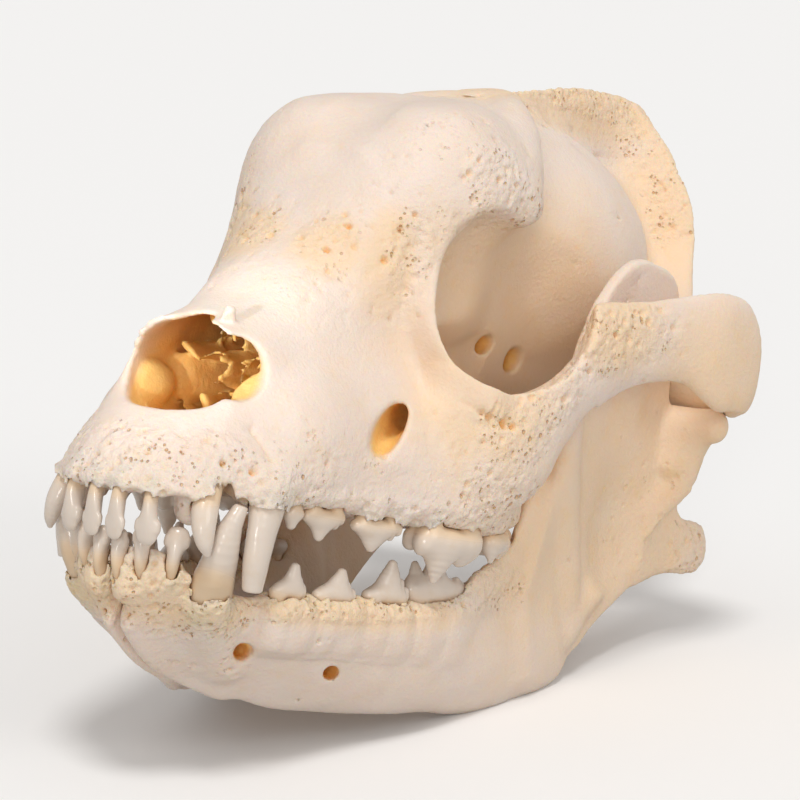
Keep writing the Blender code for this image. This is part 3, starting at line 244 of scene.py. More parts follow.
def hull(stations, roundness=2.3, blunt=3.0):
    """Long form along Y. Each station is y, half width, lowest z, z where it is widest, highest z."""
    rows = through(stations, 12)
    low = (-rows[:, 1].max(), rows[0, 0], rows[:, 2].min())
    high = (rows[:, 1].max(), rows[-1, 0], rows[:, 4].max())

    def distance(x, y, z):
        wide, bottom, middle, top = [np.interp(y, rows[:, 0], rows[:, i]) for i in range(1, 5)]
        tall = np.where(z > middle, top - middle, middle - bottom)
        n = np.where(z > middle, roundness, blunt)
        across, over = np.abs(x) / wide, np.abs(z - middle) / tall
        near = np.maximum(across ** n + over ** n, 1e-9) ** (1 / n)
        slope = np.sqrt((across ** (n - 1) / wide) ** 2 + (over ** (n - 1) / tall) ** 2)
        slope = slope * np.maximum(near, 1e-4) ** (1 - n)
        flat = (near - 1) / np.maximum(slope, 1e-6)
        return np.maximum(flat, np.maximum(rows[0, 0] - y, y - rows[-1, 0]))

    return Form(low, high, distance)


def plate(outline, middle, thick, edge=1.5):
    """Upright plate with an outline of (y, z) knots. middle and thick give its x and half thickness."""
    ring = through(list(outline) + [outline[0]], 3)[:-1]
    reach = [middle(y, z) + s * thick(y, z) for y, z in ring for s in (-1, 1)]
    low = (min(reach) - 3, ring[:, 0].min(), ring[:, 1].min())
    high = (max(reach) + 3, ring[:, 0].max(), ring[:, 1].max())

    def distance(x, y, z):
        y, z = np.broadcast_arrays(y, z)
        away = np.full(y.shape, FAR)
        inside = np.zeros(y.shape, bool)
        for (ay, az), (by, bz) in zip(ring, np.roll(ring, -1, axis=0)):
            ty, tz = by - ay, bz - az
            part = np.clip(((y - ay) * ty + (z - az) * tz) / (ty * ty + tz * tz), 0, 1)
            away = np.minimum(away, np.hypot(y - ay - part * ty, z - az - part * tz))
            if tz != 0:
                crosses = (az > z) != (bz > z)
                inside ^= crosses & (y < ay + (z - az) * ty / tz)
        side = np.where(inside, -away, away) + edge
        through_wall = np.abs(x - middle(y, z)) - thick(y, z) + edge
        outer = np.hypot(np.maximum(side, 0), np.maximum(through_wall, 0))
        return outer + np.minimum(np.maximum(side, through_wall), 0) - edge

    return Form(low, high, distance)


def half_space(point, normal):
    """Everything behind a plane that faces along normal."""
    point, normal = np.array(point, float), np.array(normal, float)
    normal = normal / np.linalg.norm(normal)

    def distance(x, y, z):
        return (x - point[0]) * normal[0] + (y - point[1]) * normal[1] + (z - point[2]) * normal[2]

    return Form([-500] * 3, [500] * 3, distance)


class Stance:
    """A tooth's own axes: along runs back along the jaw, out to the cheek, and grow to its tip."""

    def __init__(self, gum, heading, grow, lean=0.0, splay=0.0):
        turn = math.radians(heading)
        self.gum = np.array(gum, float)
        self.along = np.array([math.sin(turn), math.cos(turn), 0])
        out = np.array([math.cos(turn), -math.sin(turn), 0])
        tip = np.array([0, 0, grow]) + out * math.tan(math.radians(splay)) \
            + self.along * math.tan(math.radians(lean))
        self.grow = tip / np.linalg.norm(tip)
        side = out - self.grow * out.dot(self.grow)
        self.out = side / np.linalg.norm(side)

    def at(self, a, b, c):
        """Point at a along the jaw, b outwards and c from the gum towards the tip."""
        return tuple(self.gum + a * self.along + b * self.out + c * self.grow)

    def spike(self, *knots):
        """Bar through knots of a, b, c, half length along the jaw and half width across it."""
        return bar([self.at(a, b, c) + (t, w) for a, b, c, t, w in knots], self.along, 3)

    def ridge(self, *knots):
        """Bar that runs along the jaw, through knots of a, b, c, half height and half width."""
        return bar([self.at(a, b, c) + (h, w) for a, b, c, h, w in knots], self.grow, 3)

    def lump(self, a, b, c, along, out, grow):
        """Ellipsoid of three half sizes along the tooth's own axes."""
        return link(self.at(a, b, c - grow * 0.35), self.at(a, b, c + grow * 0.35),
                    (along, along), (out, out), self.along)


def incisor(place, wide, tall, root=8, neck=1.6):
    """Narrow root, and a crown like a small spade with a lobe on each side of its edge."""
    return Group(
        (place.spike((0, -root * 0.6, -root, 1.0, 1.3), (0, -root * 0.24, -root * 0.5, neck * 0.9, 2.2),
                     (0, 0, 0, neck, 2.5), (0, 0.2, tall * 0.3, neck * 1.15, 2.6),
                     (0, 0.1, tall * 0.62, wide * 0.42, 2.1),
                     (0, 0, tall * 0.84, wide * 0.4, 1.3), (0, -0.2, tall - 0.8, wide * 0.3, 0.8)), 0.3),
        (place.lump(-wide * 0.34, 0, tall * 0.62, wide * 0.15, 1.2, tall * 0.16), 0.8),
        (place.lump(wide * 0.34, 0, tall * 0.62, wide * 0.15, 1.2, tall * 0.16), 0.8),
    )


def premolar(place, long, wide, tall, root=6.5, peak=-0.05):
    """Two roots, and a blade with a shoulder in front, one main cusp and a small one behind it."""
    return Group(
        place.spike((-long * 0.26, 0, -root, 1.1, 1.1), (-long * 0.28, 0, 0.6, 2.0, wide * 0.38)),
        place.spike((long * 0.28, 0, -root, 1.1, 1.1), (long * 0.3, 0, 0.6, 2.1, wide * 0.38)),
        (place.ridge((-long * 0.41, 0, 2.0, 1.5, wide * 0.32), (-long * 0.2, 0, 2.6, 2.0, wide * 0.42),
                     (long * 0.2, 0, 2.5, 2.0, wide * 0.42), (long * 0.42, 0, 1.9, 1.5, wide * 0.32)), 1.2),
        (place.spike((peak * long * 0.3, 0, 2.2, long * 0.33, wide * 0.44),
                     (peak * long * 0.8, 0, tall * 0.56, long * 0.23, wide * 0.36),
                     (peak * long, 0, tall - 1.3, 1.5, 1.1)), 1.4),
        (place.spike((long * 0.3, 0, 2, 1.7, wide * 0.3), (long * 0.33, 0, tall * 0.5, 1.1, 0.9)), 0.9),
        (place.lump(long * 0.46, 0, tall * 0.28, 1.0, wide * 0.22, 1.3), 0.8),
    )


def first_premolar(place, long, wide, tall):
    """Small tooth behind the canine: one root and a low blunt cusp."""
    return Group(
        place.spike((0, 0, -6, 1.2, 1.1), (0, 0, 0.4, long * 0.36, wide * 0.4)),
        (place.ridge((-long * 0.3, 0, 2.0, 1.4, wide * 0.36), (long * 0.32, 0, 1.8, 1.3, wide * 0.34)), 1.2),
        (place.spike((-0.2, 0, 1.8, long * 0.38, wide * 0.42), (-0.3, 0, tall - 1.4, 1.4, 1.2)), 1.4),
    )


def upper_carnassial(place):
    """Fourth upper premolar: a tall front cusp, a long shearing blade behind it and an inner lobe."""
    return Group(
        place.spike((-7.0, 0.4, -7, 1.8, 1.6), (-6.5, 0.4, 1, 3.0, 2.8)),
        place.spike((7.0, 0, -7, 2.0, 1.6), (6.6, 0, 1, 3.6, 2.8)),
        (place.spike((-7.8, -2.2, -4, 1.7, 1.7), (-7.8, -4.2, 2.6, 2.2, 2.2)), 2.6),
        (place.ridge((-8.0, 0, 3.2, 3.6, 3.2), (0, 0.3, 3.4, 4.0, 3.6), (8.2, 0, 3.2, 3.6, 3.0)), 1.5),
        (place.spike((-2.4, 0.2, 3, 6.2, 3.6), (-2.6, 0.2, 7.6, 4.0, 2.8), (-3.0, 0, 12.8, 1.1, 0.9)), 2.0),
        (place.spike((5.6, -0.2, 3, 4.8, 2.9), (6.2, -0.4, 6.4, 3.6, 2.0), (6.6, -0.6, 8.2, 2.2, 0.7)), 1.6),
        (place.spike((-8.8, -0.2, 3, 1.8, 2.0), (-9.6, 0, 5.6, 0.9, 0.9)), 1.2),
        (place.lump(-8.4, -4.8, 3.4, 2.3, 2.1, 2.2), 1.4),
    )


def upper_molar(place, long, wide, tall):
    """Broad grinding tooth: two cusps on the cheek side and a low inner shelf."""
    return Group(
        place.spike((0, 0, -4.5, long * 0.22, wide * 0.2), (0, 0, 1, long * 0.38, wide * 0.36)),
        (place.spike((0, wide * 0.28, 2.6, long * 0.45, wide * 0.18),
                     (0, -wide * 0.3, 2.2, long * 0.3, wide * 0.16)), 2.0),
        (place.spike((-long * 0.22, wide * 0.3, 2.4, long * 0.24, wide * 0.16),
                     (-long * 0.2, wide * 0.3, tall - 0.6, 0.9, 0.8)), 1.4),
        (place.spike((long * 0.24, wide * 0.26, 2.4, long * 0.2, wide * 0.15),
                     (long * 0.24, wide * 0.26, tall * 0.78, 0.9, 0.8)), 1.4),
        (place.lump(-long * 0.05, -wide * 0.22, 3.6, long * 0.2, wide * 0.1, 1.6), 1.2),
    )


def lower_carnassial(place):
    """First lower molar: two shearing cusps and a low heel behind them."""
    return Group(
        place.spike((-6.2, 0, -7, 2.0, 1.6), (-6.0, 0, 1, 3.6, 2.6)),
        place.spike((6.4, 0, -7, 2.0, 1.6), (6.2, 0, 1, 3.6, 2.6)),
        (place.ridge((-8.8, 0, 3, 3.0, 2.6), (0, 0, 3.2, 4.0, 3.4), (8.6, 0, 3, 3.0, 3.0)), 1.5),
        (place.spike((-7.0, 0, 4, 3.8, 2.4), (-8.0, -0.4, 9.6, 1.1, 0.8)), 1.5),
        (place.spike((-0.6, 0, 4, 4.8, 3.0), (-0.4, 0, 9, 3.2, 2.1), (0, 0, 13.4, 1.0, 0.8)), 1.6),
        (place.spike((7.8, 0.6, 3.4, 2.6, 1.8), (7.6, 0.6, 6.2, 1.0, 0.8)), 1.2),
    )


def lower_molar(place, long, wide, tall):
    """Small low tooth behind the lower carnassial."""
    return Group(
        place.spike((0, 0, -5, long * 0.2, wide * 0.24), (0, 0, 1, long * 0.38, wide * 0.36)),
        (place.ridge((-long * 0.26, 0, 1.8, 2.0, wide * 0.42), (long * 0.26, 0, 1.8, 2.0, wide * 0.4)), 1.0),
        (place.lump(-long * 0.2, wide * 0.14, tall * 0.66, 1.2, 1.1, tall * 0.3), 0.9),
        (place.lump(long * 0.22, 0, tall * 0.56, 1.1, 1.1, tall * 0.26), 0.9),
    )


def canines():
    """The two left canines."""
    upper = bar([(23.6, 31.6, 10.5, 3.4, 2.6), (26.6, 25.2, 2, 5.4, 3.7),
                 (27.7, 22.6, -6, 4.5, 3.2), (27.5, 22.0, -14, 3.8, 3.0), (27.0, 22.8, -22, 2.6, 2.3)],
                (0, 1, 0.35))
    lower = bar([(12.4, 31, -34, 3.6, 3.0), (17.0, 20.4, -24, 6.4, 4.7),
                 (21.4, 15.8, -14, 5.0, 3.9), (23.3, 15.2, -7, 3.4, 2.7), (24.6, 16.6, -1.6, 1.9, 1.7)],
                (0, 1, 0.25))
    return {"upper_canine_left": upper, "lower_canine_left": lower}


def left_teeth():
    """Every tooth of the left side by its node's name."""
    teeth = {
        "upper_incisor_1_left": incisor(Stance((3.3, -3.2, -2.2), 90, -1, 0, 4), 5.4, 10.8),
        "upper_incisor_2_left": incisor(Stance((10.6, -0.6, -1.2), 74, -1, 2, 3), 6.4, 11.8),
        "upper_premolar_1_left": first_premolar(Stance((28.0, 35.0, -0.4), 6, -1), 6.4, 4.4, 5.8),
        "upper_premolar_2_left": premolar(Stance((29.8, 46.0, -0.4), 12, -1), 13.6, 5.0, 8.2),
        "upper_premolar_3_left": premolar(Stance((34.8, 63.6, -1.8), 14, -1), 17.0, 5.6, 8.6),
        "upper_carnassial_left": upper_carnassial(Stance((42.4, 88.2, -3.2), 17, -1, 0, -2)),
        "upper_molar_1_left": upper_molar(Stance((41.0, 107.0, -3.0), -4, -1), 13.0, 17.0, 7.6),
        "upper_molar_2_left": upper_molar(Stance((38.0, 118.6, -1.6), -8, -1), 7.6, 11.0, 5.0),
        "lower_incisor_1_left": incisor(Stance((2.6, 1.6, -18.8), 90, 1, 0, 6), 4.2, 8.6, 7, 1.3),
        "lower_incisor_2_left": incisor(Stance((7.8, 3.2, -17.4), 76, 1, 0, 10), 5.2, 9.2, 7, 1.4),
        "lower_incisor_3_left": incisor(Stance((13.2, 8.2, -17.2), 58, 1, 4, 8), 6.4, 9.4, 7, 1.6),
        "lower_premolar_2_left": premolar(Stance((24.7, 42.6, -23.6), 10, 1), 11.2, 4.6, 9.4, 6.5, 0.16),
        "lower_premolar_3_left": premolar(Stance((28.3, 58.8, -24.0), 12, 1), 14.0, 5.0, 9.2, 6.5, 0.14),
        "lower_premolar_4_left": premolar(Stance((32.4, 77.4, -23.4), 13, 1), 15.6, 5.8, 11.4, 6.5, 0.08),
        "lower_carnassial_left": lower_carnassial(Stance((35.6, 97.0, -22.6), 12, 1, 0, -3)),
        "lower_molar_2_left": lower_molar(Stance((37.0, 114.6, -21.0), 12, 1), 9.4, 6.4, 5.2),
        "lower_molar_3_left": lower_molar(Stance((38.0, 123.2, -19.4), 10, 1), 5.4, 4.8, 4.0),
    }
    teeth["upper_incisor_3_left"] = bar(
        [(18.2, 13.4, 7.5, 2.0, 1.8), (18.9, 11.4, 4, 2.8, 2.4), (20.1, 8.4, -1.5, 3.3, 2.8),
         (21.2, 6.8, -6.2, 3.1, 2.6), (22.2, 6.7, -10.4, 2.2, 1.9), (22.9, 7.6, -13.2, 0.9, 0.8)],
        (0.5, 0.87, 0.1))
    teeth.update(canines())
    return teeth


def cranium_body(step):
    """Left half of the solid cranium before its inner hollows are cut."""
    bone = grid((0, -10, -16), (86, 256, 134), step)
    # Upper jaw: the box of the maxilla, widest over the last teeth, and the bridge of the nose.
    bone.add(hull([(-5, 8, 0, 0.6, 1.6), (-3, 12.5, -0.6, 0.6, 4.5), (0, 16, -0.8, 0.8, 9),
                   (5, 19.6, -0.8, 1.2, 14.6), (12, 24, -0.8, 1.6, 21), (22, 28.6, -0.8, 2, 27.6),
                   (34, 31.8, -1.6, 4, 35), (47, 34.4, -1.8, 5, 40),
                   (60, 38.2, -2.8, 6, 44), (74, 42.6, -4, 7, 46), (88, 47.2, -5, 7, 42),
                   (102, 49.6, -5.4, 6, 36), (112, 48.8, -4.6, 5, 30), (121, 43.5, -3.4, 5, 24),
                   (125, 35, -2, 6, 20)], 1.9, 4.4))
    bone.add(hull([(21.5, 15.6, 16, 31, 41.6), (30, 17.4, 10, 31, 44.2), (40, 18, 8, 33, 49),
                   (50, 20, 8, 36, 58), (58, 21.5, 8, 40, 65), (66, 23.8, 8, 48, 75),
                   (74, 26.6, 8, 58, 86), (82, 29, 8, 64, 94),
                   (90, 28, 8, 66, 98), (98, 20, 8, 66, 98)], 2.3, 2.4), 11)
    # Forehead: a broad dome over each orbit, the shield between them, and a shallow furrow.
    bone.add(blob((17.0, 104, 80.9), (21.6, 28.6, 26.0)), 9)
    bone.add(hull([(78, 10, 40, 75, 90), (92, 26.5, 40, 78, 101.8), (106, 32.5, 40, 84, 107),
                   (118, 34, 40, 84, 110), (130, 28, 40, 82, 111), (142, 21, 40, 76, 111.5),
                   (154, 15, 40, 72, 110), (168, 8, 50, 75, 102)], 2.2, 2.2), 9)
    bone.cut(rod([(0, 62, 90, 6), (0, 82, 108, 8), (0, 104, 117.5, 8), (0, 128, 119.5, 7),
                  (0, 146, 119, 3)]), 8)
    # Braincase, with the crest along its top and the crest around the back of the head.
    bone.add(blob((0, 180, 70), (36, 50, 38)), 16)
    bone.add(hull([(140, 17, 24, 50, 104), (160, 20, 22, 50, 106), (185, 22, 22, 50, 107),
                   (210, 24, 22, 50, 106), (232, 22, 40, 60, 102)], 1.9, 2.4), 12)
    bone.add(bar([(0, 150, 108, 7, 6), (0, 166, 111, 7, 3.4), (0, 182, 113, 7.5, 2.4),
                  (0, 200, 115.5, 8, 2.2), (0, 220, 118, 8, 2.4), (0, 238, 119.5, 7, 4),
                  (0, 244, 119, 5.5, 4.5)]), 8)
    bone.add(bar([(0, 176, 100, 12, 3), (0, 200, 104, 14, 2.4), (0, 222, 104, 18, 2.6),
                  (0, 236, 104, 17, 4)]), 4)
    bone.add(bar([(0, 241, 118, 6, 3.6), (8, 239, 111, 6.5, 2.8), (15, 236, 103, 7, 2.4),
                  (21, 233, 94, 8, 2.4), (26, 230, 83, 8, 2.6), (30, 224, 72, 8, 3.4),
                  (34, 217, 60, 8, 4.4), (37, 210, 48, 7, 5)], (0.6, 0.3, 0.74)), 7)
    # Floor of the skull: palatine and pterygoid bones, the drum capsules, and the joint with the neck.
    bone.add(hull([(96, 22, 0, 8, 30), (112, 20, 0.5, 8, 40), (126, 15, 3, 14, 50), (140, 13, 8, 24, 60),
                   (156, 15, 16, 32, 66), (176, 20, 21, 36, 66), (200, 24, 22, 38, 66),
                   (222, 20, 26, 42, 66), (236, 15, 38, 50, 66)], 2.4, 3.0), 8)
    bone.add(bar([(12.5, 122, 10, 9, 2.0), (12, 134, 10, 8, 1.8), (12, 146, 12, 8, 1.8),
                  (12.5, 156, 17, 6, 2.0)]), 4)
    bone.add(blob((22, 209, 26), (10.5, 14, 10.5), (0, 0, -14)), 4)
    bone.add(bar([(33, 222, 50, 8, 5), (32, 225, 38, 7, 5), (31, 226, 27, 4, 3.4)], (0, 1, 0)), 6)
    bone.add(blob((14.5, 234, 46), (8.5, 9.5, 9.5)), 5)
    bone.add(blob((0, 236, 84), (16, 5, 26)), 10)
    # Root of the cheek arch behind, with the hollow for the jaw joint and the lip that backs it.
    bone.add(bar([(26, 200, 52, 14, 12), (40, 199, 48, 9, 9), (50, 197.5, 45.2, 8.3, 8.5),
                  (60, 194.5, 45, 9, 7), (70, 190, 45.5, 10, 5)]), 6)
    bone.add(bar([(42, 202.5, 42, 7, 5), (46, 203, 34, 7, 4), (50, 202, 27.5, 5, 2.6)], (1, 0, 0)), 5)
    # Sockets of the eyes, and the pinch behind them.
    bone.cut(blob((44.5, 101.5, 56.8), (22.5, 24.5, 23.5), (0, -10, 0)), 2.5)
    bone.cut(blob((45, 134, 57), (22.5, 33, 27), (0, -6, 0)), 6)
    bone.cut(blob((53, 128, 24), (23, 25, 14), (0, 12, 0)), 5)
    # Cheek arch: the plate under the orbit, then the flat bow out to the side.
    bone.add(bar([(37, 86, 17, 20, 9), (43, 93, 17.5, 18, 8), (48, 100, 20, 16.3, 6.5),
                  (51.5, 106.5, 28, 12.8, 5.4), (54.6, 112.5, 37, 11.5, 4.6), (57, 117.5, 44.5, 14, 4.2),
                  (59.5, 123, 47.5, 13.2, 3.9), (64, 133, 51, 11.4, 3.7), (68, 143, 53, 11, 3.6),
                  (71.5, 153, 54.5, 12, 3.6), (74.6, 162, 54, 14.4, 3.7), (76.6, 173, 51.4, 15.6, 3.9),
                  (76.5, 183, 47.5, 11.6, 4.4), (72, 190, 46.5, 9.5, 5)]), 4)
    # Rim of the orbit, and the process behind it that overhangs the socket.
    bone.add(bar([(27, 90, 73, 4, 4), (27.5, 84, 64, 4.5, 4), (30.5, 82, 54, 5, 4.5), (36, 84, 43, 6, 6),
                  (43.5, 91, 33.5, 6, 6)], (0, 1, 0.2)), 7)
    bone.add(bar([(20, 100, 88, 9, 8), (28.5, 107, 87.5, 8, 7), (33.2, 111.6, 85.2, 5.2, 4.8),
                  (36.2, 114.2, 82.2, 3.0, 3.0)], (0.3, 1, 0)), 6)
    bone.add(bar([(35.5, 116.5, 84, 4, 3), (33, 119, 92, 5, 3), (27.5, 125, 101, 5, 3.4),
                  (19.5, 133, 107, 5, 4), (11, 145, 110.5, 5, 4), (3, 157, 112, 6, 4)], (0, 1, 0)), 5)
    bone.cut(blob((44.5, 101.5, 56.8), (21.5, 23.5, 23), (0, -10, 0)), 2)
    bone.cut(blob((42.5, 97.5, 51), (19, 20.5, 18.5), (0, -10, 0)), 2)
    # Swellings over the roots of the canine and of the cheek teeth.
    bone.add(rod([(26, 24.5, 2.5, 5.6), (23, 32, 12, 5.2), (20.5, 39, 20, 4.6)]), 5)
    bone.add(blob((21, 47, 16), (11, 16, 13), (0, 0, 12)), 8)
    for x, y in ((3.5, -3.6), (10.6, -1.2), (18.6, 6.4)):
        bone.add(rod([(x, y + 0.6, 0.8, 2.8), (x * 0.9, y + 7, 9, 2.2)]), 3)
    for x, y in ((36.5, 60.5), (38.5, 70), (41.5, 81), (45.5, 95), (47.5, 104)):
        bone.add(rod([(x - 2.2, y, -0.5, 3.4), (x - 3.8, y, 8, 2.6)]), 3)
    bone.add(blob((15.2, 9.5, -3.2), (4.2, 4.2, 4.4)), 2)
    return bone


def cranium_field(step, teeth):
    """Left half of the cranium, which the mesh mirrors about x = 0."""
    bone = cranium_body(step)
    # Hollow of the nose, open in front, with a low wall on the midline and rolled bones beside it.
    bone.cut(hull([(2, 9.4, 21, 28, 33), (10, 11.8, 18.5, 28, 38), (18, 14.6, 15.5, 29, 40),
                   (26, 15.6, 13, 29, 41.3), (36, 16, 12, 30, 45), (48, 17.5, 11.5, 32, 51),
                   (60, 19, 11.5, 36, 55), (72, 18, 12, 36, 56), (84, 13, 14, 36, 52)], 2.5, 2.5), 1.5)
    bone.add(bar([(0, 26, 13, 5, 1.5), (0, 50, 13, 7, 1.5), (0, 74, 14, 12, 1.7), (0, 86, 20, 20, 2)]), 2)
    bone.add(bar([(19, 38, 26, 5, 3), (13.5, 44, 27, 6, 2.6), (12, 60, 28, 7, 2.6), (14, 80, 30, 9, 3)]), 2)
    bone.add(bar([(8, 44, 44, 4, 2), (8, 60, 47, 5, 2.4), (8, 82, 48, 8, 4)]), 2)
    # Edge of the nose opening: the nasal bones end in two points with a notch between them.
    bone.cut(bar([(0, 14, 46, 9, 7), (0, 23, 45, 7, 4.5), (0, 26, 45, 4, 2)], (0, 1, 0)), 2)
    # Holes: below the orbit, in the palate, at the back of the eye socket and for the spinal cord.
    bone.cut(bar([(41, 50, 17.4, 5.6, 3.6), (36.2, 60, 20, 6.0, 3.6), (31.8, 72, 23, 4.6, 3.0),
                  (28.6, 88, 25.6, 3, 2.6)], (0.2, 0, 1)), 1.5)
    bone.cut(bar([(7, 14, -3, 3, 2.2), (7, 14, 14, 3, 2.2)], (0, 1, 0)), 1)
    bone.cut(bar([(7.4, 20, -3, 3.4, 2.2), (7.2, 22, 14, 3.4, 2.2)], (0, 1, 0)), 1)
    bone.cut(rod([(29, 130, 47.6, 3.0), (19.5, 135.9, 45.7, 2.6), (10, 141, 44, 2.0)]), 1)
    bone.cut(rod([(31, 143, 44.4, 3.8), (21.3, 149.5, 42.2, 3.4), (11, 154, 40.6, 2.2)]), 1)
    bone.cut(bar([(0, 248, 62, 7.5, 9), (0, 234, 60, 7, 8.5), (0, 218, 62, 8, 10)], (0, 0, 1)), 2)
    bone.cut(blob((0, 186, 69), (30, 44, 32)), 1)
    bone.cut(blob((0, 148, 66), (16, 22, 19)), 4)
    bone.cut(bar([(0, 112, 4, 7, 8.5), (0, 128, 12, 9, 8.5), (0, 144, 14, 7, 9), (0, 158, 12, 6, 10)]), 2)
    # Vault of the palate between the tooth rows.
    bone.cut(hull([(6, 9, -20, -2, 1.2), (24, 17, -20, -1, 3.0), (60, 20, -20, 0, 4), (96, 27, -20, 0, 4.5),
                   (118, 24, -20, 0, 4), (132, 16, -20, 0, 4)], 2.4, 3), 2)
    # Notch worn through the margin between the third incisor and the canine.
    bone.cut(bar([(29, 1.5, -2.5, 6.4, 2.2), (25, 8.9, -2.5, 6.4, 2.2), (17.5, 21, -1.5, 6, 1.8)]), 1)
    bone.cut(teeth["lower_canine_left"].grown(BITE_GAP), 0.6)
    return bone


def jaw_head():
    """Condyle of the left jaw half: a bar across, thicker at its inner end."""
    return bar([(46.5, 189.5, 30.4, 4.8, 5.0), (56, 188.8, 30.6, 5.2, 4.8), (66.8, 188, 32.2, 4.8, 4.2)])


def ramus_middle(y, z):
    """x of the middle of the upright part of the jaw, which leans outwards upwards and backwards."""
    return 45.0 + 0.075 * (z + 20) + 0.055 * (y - 140)


def ramus_thick(y, z):
    """Half thickness of the upright part of the jaw: thin in the hollow for the chewing muscle."""
    hollow = np.exp(-(((y - 166) / 22) ** 2 + ((z - 14) / 30) ** 2))
    return np.clip(3.8 - 0.028 * (z - 10), 2.0, 4.2) - 1.4 * hollow


def jaw_body(step, teeth):
    """Left half of the lower jaw, before its small holes are drilled."""
    bone = grid((-2, -6, -60), (80, 238, 82), step)
    bone.add(bar([(8, 13, -26, 7, 6, 0.3, 0.3, 0.85), (11, 25, -32.5, 10.5, 6.2, 0.5, 0, 0.86),
                  (14.4, 36, -36.3, 13.4, 6.2, 0.48, 0, 0.88), (18, 48, -38.6, 15.8, 6.6, 0.48, 0, 0.88),
                  (21.2, 60, -39, 16.6, 6.7, 0.46, 0, 0.89), (24.6, 72, -38.8, 16.3, 6.8, 0.42, 0, 0.9),
                  (29.2, 86, -38.4, 15.5, 6.9, 0.34, 0, 0.94), (33.6, 101, -37.8, 15, 6.9, 0.24, 0, 0.97),
                  (37.4, 115, -37, 15.4, 6.6, 0.14, 0, 0.99), (40.6, 128, -34, 16.5, 6.2, 0.05, 0.05, 1),
                  (43.4, 139, -28, 15.4, 5.6, 0, 0.2, 1)], count=5))
    # Chin: the jaw halves meet along a long flat seam, and a crumbly ridge holds the front teeth.
    bone.add(bar([(3, 11, -29, 7, 3, 0, 0.6, 0.8), (3, 23, -36, 9, 3.5, 0, 0.6, 0.8),
                  (3.2, 36, -42.4, 6.4, 3.8, 0, 0.6, 0.8), (8.6, 46, -46.4, 6.6, 5, 0.3, 0.4, 0.85)]), 4)
    bone.add(bar([(3.5, 4.4, -23.4, 4.6, 3.6), (9.5, 6.8, -23, 4.8, 3.6), (15.5, 12, -23.6, 5, 4.6)]), 3.5)
    bone.add(bar([(3, 3.2, -18.8, 4.4, 2.8), (8.5, 5.6, -18.6, 4.4, 2.8), (12.5, 10.0, -19.4, 4, 2.8)]), 2)
    # Upright part with the coronoid process, the neck of the condyle and the hook of the angle.
    bone.add(plate([(124, -18), (126.5, 0), (129.5, 18), (131, 32), (135, 56), (141, 67),
                    (151, 73.5), (165, 73.5), (176, 69.5),
                    (181, 60), (182.5, 46), (186, 36), (195, 32), (198, 22), (199, 14), (201.5, 8), (202, 0),
                    (200, -9), (188, -13.5), (178, -18), (170, -23), (162, -29.5), (154, -35.5), (143, -42),
                    (131, -40)],
                   ramus_middle, ramus_thick), 7)
    bone.add(bar([(51, 129, 31, 3.6, 3.2), (49.5, 135, 8, 4.4, 3.8), (48, 144, -12, 4.6, 4.4),
                  (46, 149, -27, 5, 4.6)], (0, 1, 0)), 4)
    # Ramp of the alveolar border up to the coronoid process, on the cheek side of the last teeth.
    bone.add(bar([(38.2, 99, -26.5, 5, 3.2), (40.2, 106.5, -22.5, 5, 2.6), (41, 110.5, -18.9, 5, 2.3),
                  (41.8, 116.3, -15.5, 5, 2.2), (43, 122.5, -11, 5.2, 2.4), (43.8, 127, -3, 5, 2.6),
                  (45, 130.5, 8, 5, 2.8)], (0, -0.5, 0.86)), 4)
    bone.add(bar([(61, 192, 27, 4.5, 3.4), (57.5, 192, 17, 5.5, 3.6), (54, 182, 4, 5, 3.8),
                  (49, 163, -14, 4.6, 4.2), (46, 149, -28, 4.6, 4.6)], (0, 0.6, 0.8)), 4)
    bone.add(bar([(49, 184, -8.5, 6.4, 4.2), (52, 196, -4.4, 7.6, 4.2), (55, 205, -3.4, 8.0, 3.8),
                  (56.6, 211, -3.6, 7.2, 3.2)]), 4)
    bone.add(bar([(56.5, 190, 20, 7, 4.2), (57, 189.5, 29, 5.5, 5)], (0, 1, 0)), 4)
    bone.add(jaw_head(), 4)
    bone.cut(blob((59, 163, 8), (10.5, 18, 27), (14, 12, 0)), 3)
    bone.cut(blob((64, 190, -4), (9, 12, 14)), 4)
    # The chin's sides draw in towards its lower edge.
    for y, z, slope in ((0.8, -35.0, 0.67), (14.4, -43.0, 1.04)):
        bone.cut(half_space((0, y, z), (-0.87, 0.494, slope)), 3)
    # Swellings over the tooth roots along the upper edge.
    bone.add(rod([(16.8, 19, -24.6, 6.4), (12.6, 30, -34, 5.8), (10.8, 40, -41, 5)]), 3)
    for x, y in ((24.6, 40.5), (26.6, 47), (28.4, 56.5), (30.6, 64), (32.5, 73.5), (35, 81), (37, 91),
                 (39, 103)):
        bone.add(rod([(x - 1.0, y, -26.4, 3.8), (x - 2.0, y, -33.5, 3.4)]), 5)
    bone.add(bar([(23.1, 40.5, -29, 6, 3.5), (26.9, 56.5, -29, 6, 3.5), (31, 73.5, -29, 6, 3.5),
                  (35.4, 91, -29, 6, 3.5), (37.4, 103, -28, 6, 3.4)]), 4)
    for name in ("upper_canine_left", "upper_molar_1_left", "upper_molar_2_left"):
        bone.cut(teeth[name].grown(BITE_GAP), 0.6)
    bone.cut(half_space((SYMPHYSIS_GAP / 2, 0, 0), (1, 0, 0)))
    return bone


def drilled(bone):
    """The same left jaw half, once the two small holes on the side of its chin are cut."""
    bone.cut(rod([(24, 28.5, -38, 2.8), (18, 37.5, -37.8, 2.5), (13, 42, -37.8, 1.6)]), 0.8)
    bone.cut(rod([(32, 58.5, -42.2, 1.9), (26, 66.5, -41.8, 1.7), (22, 70.5, -41.2, 1.2)]), 0.8)
    return bone


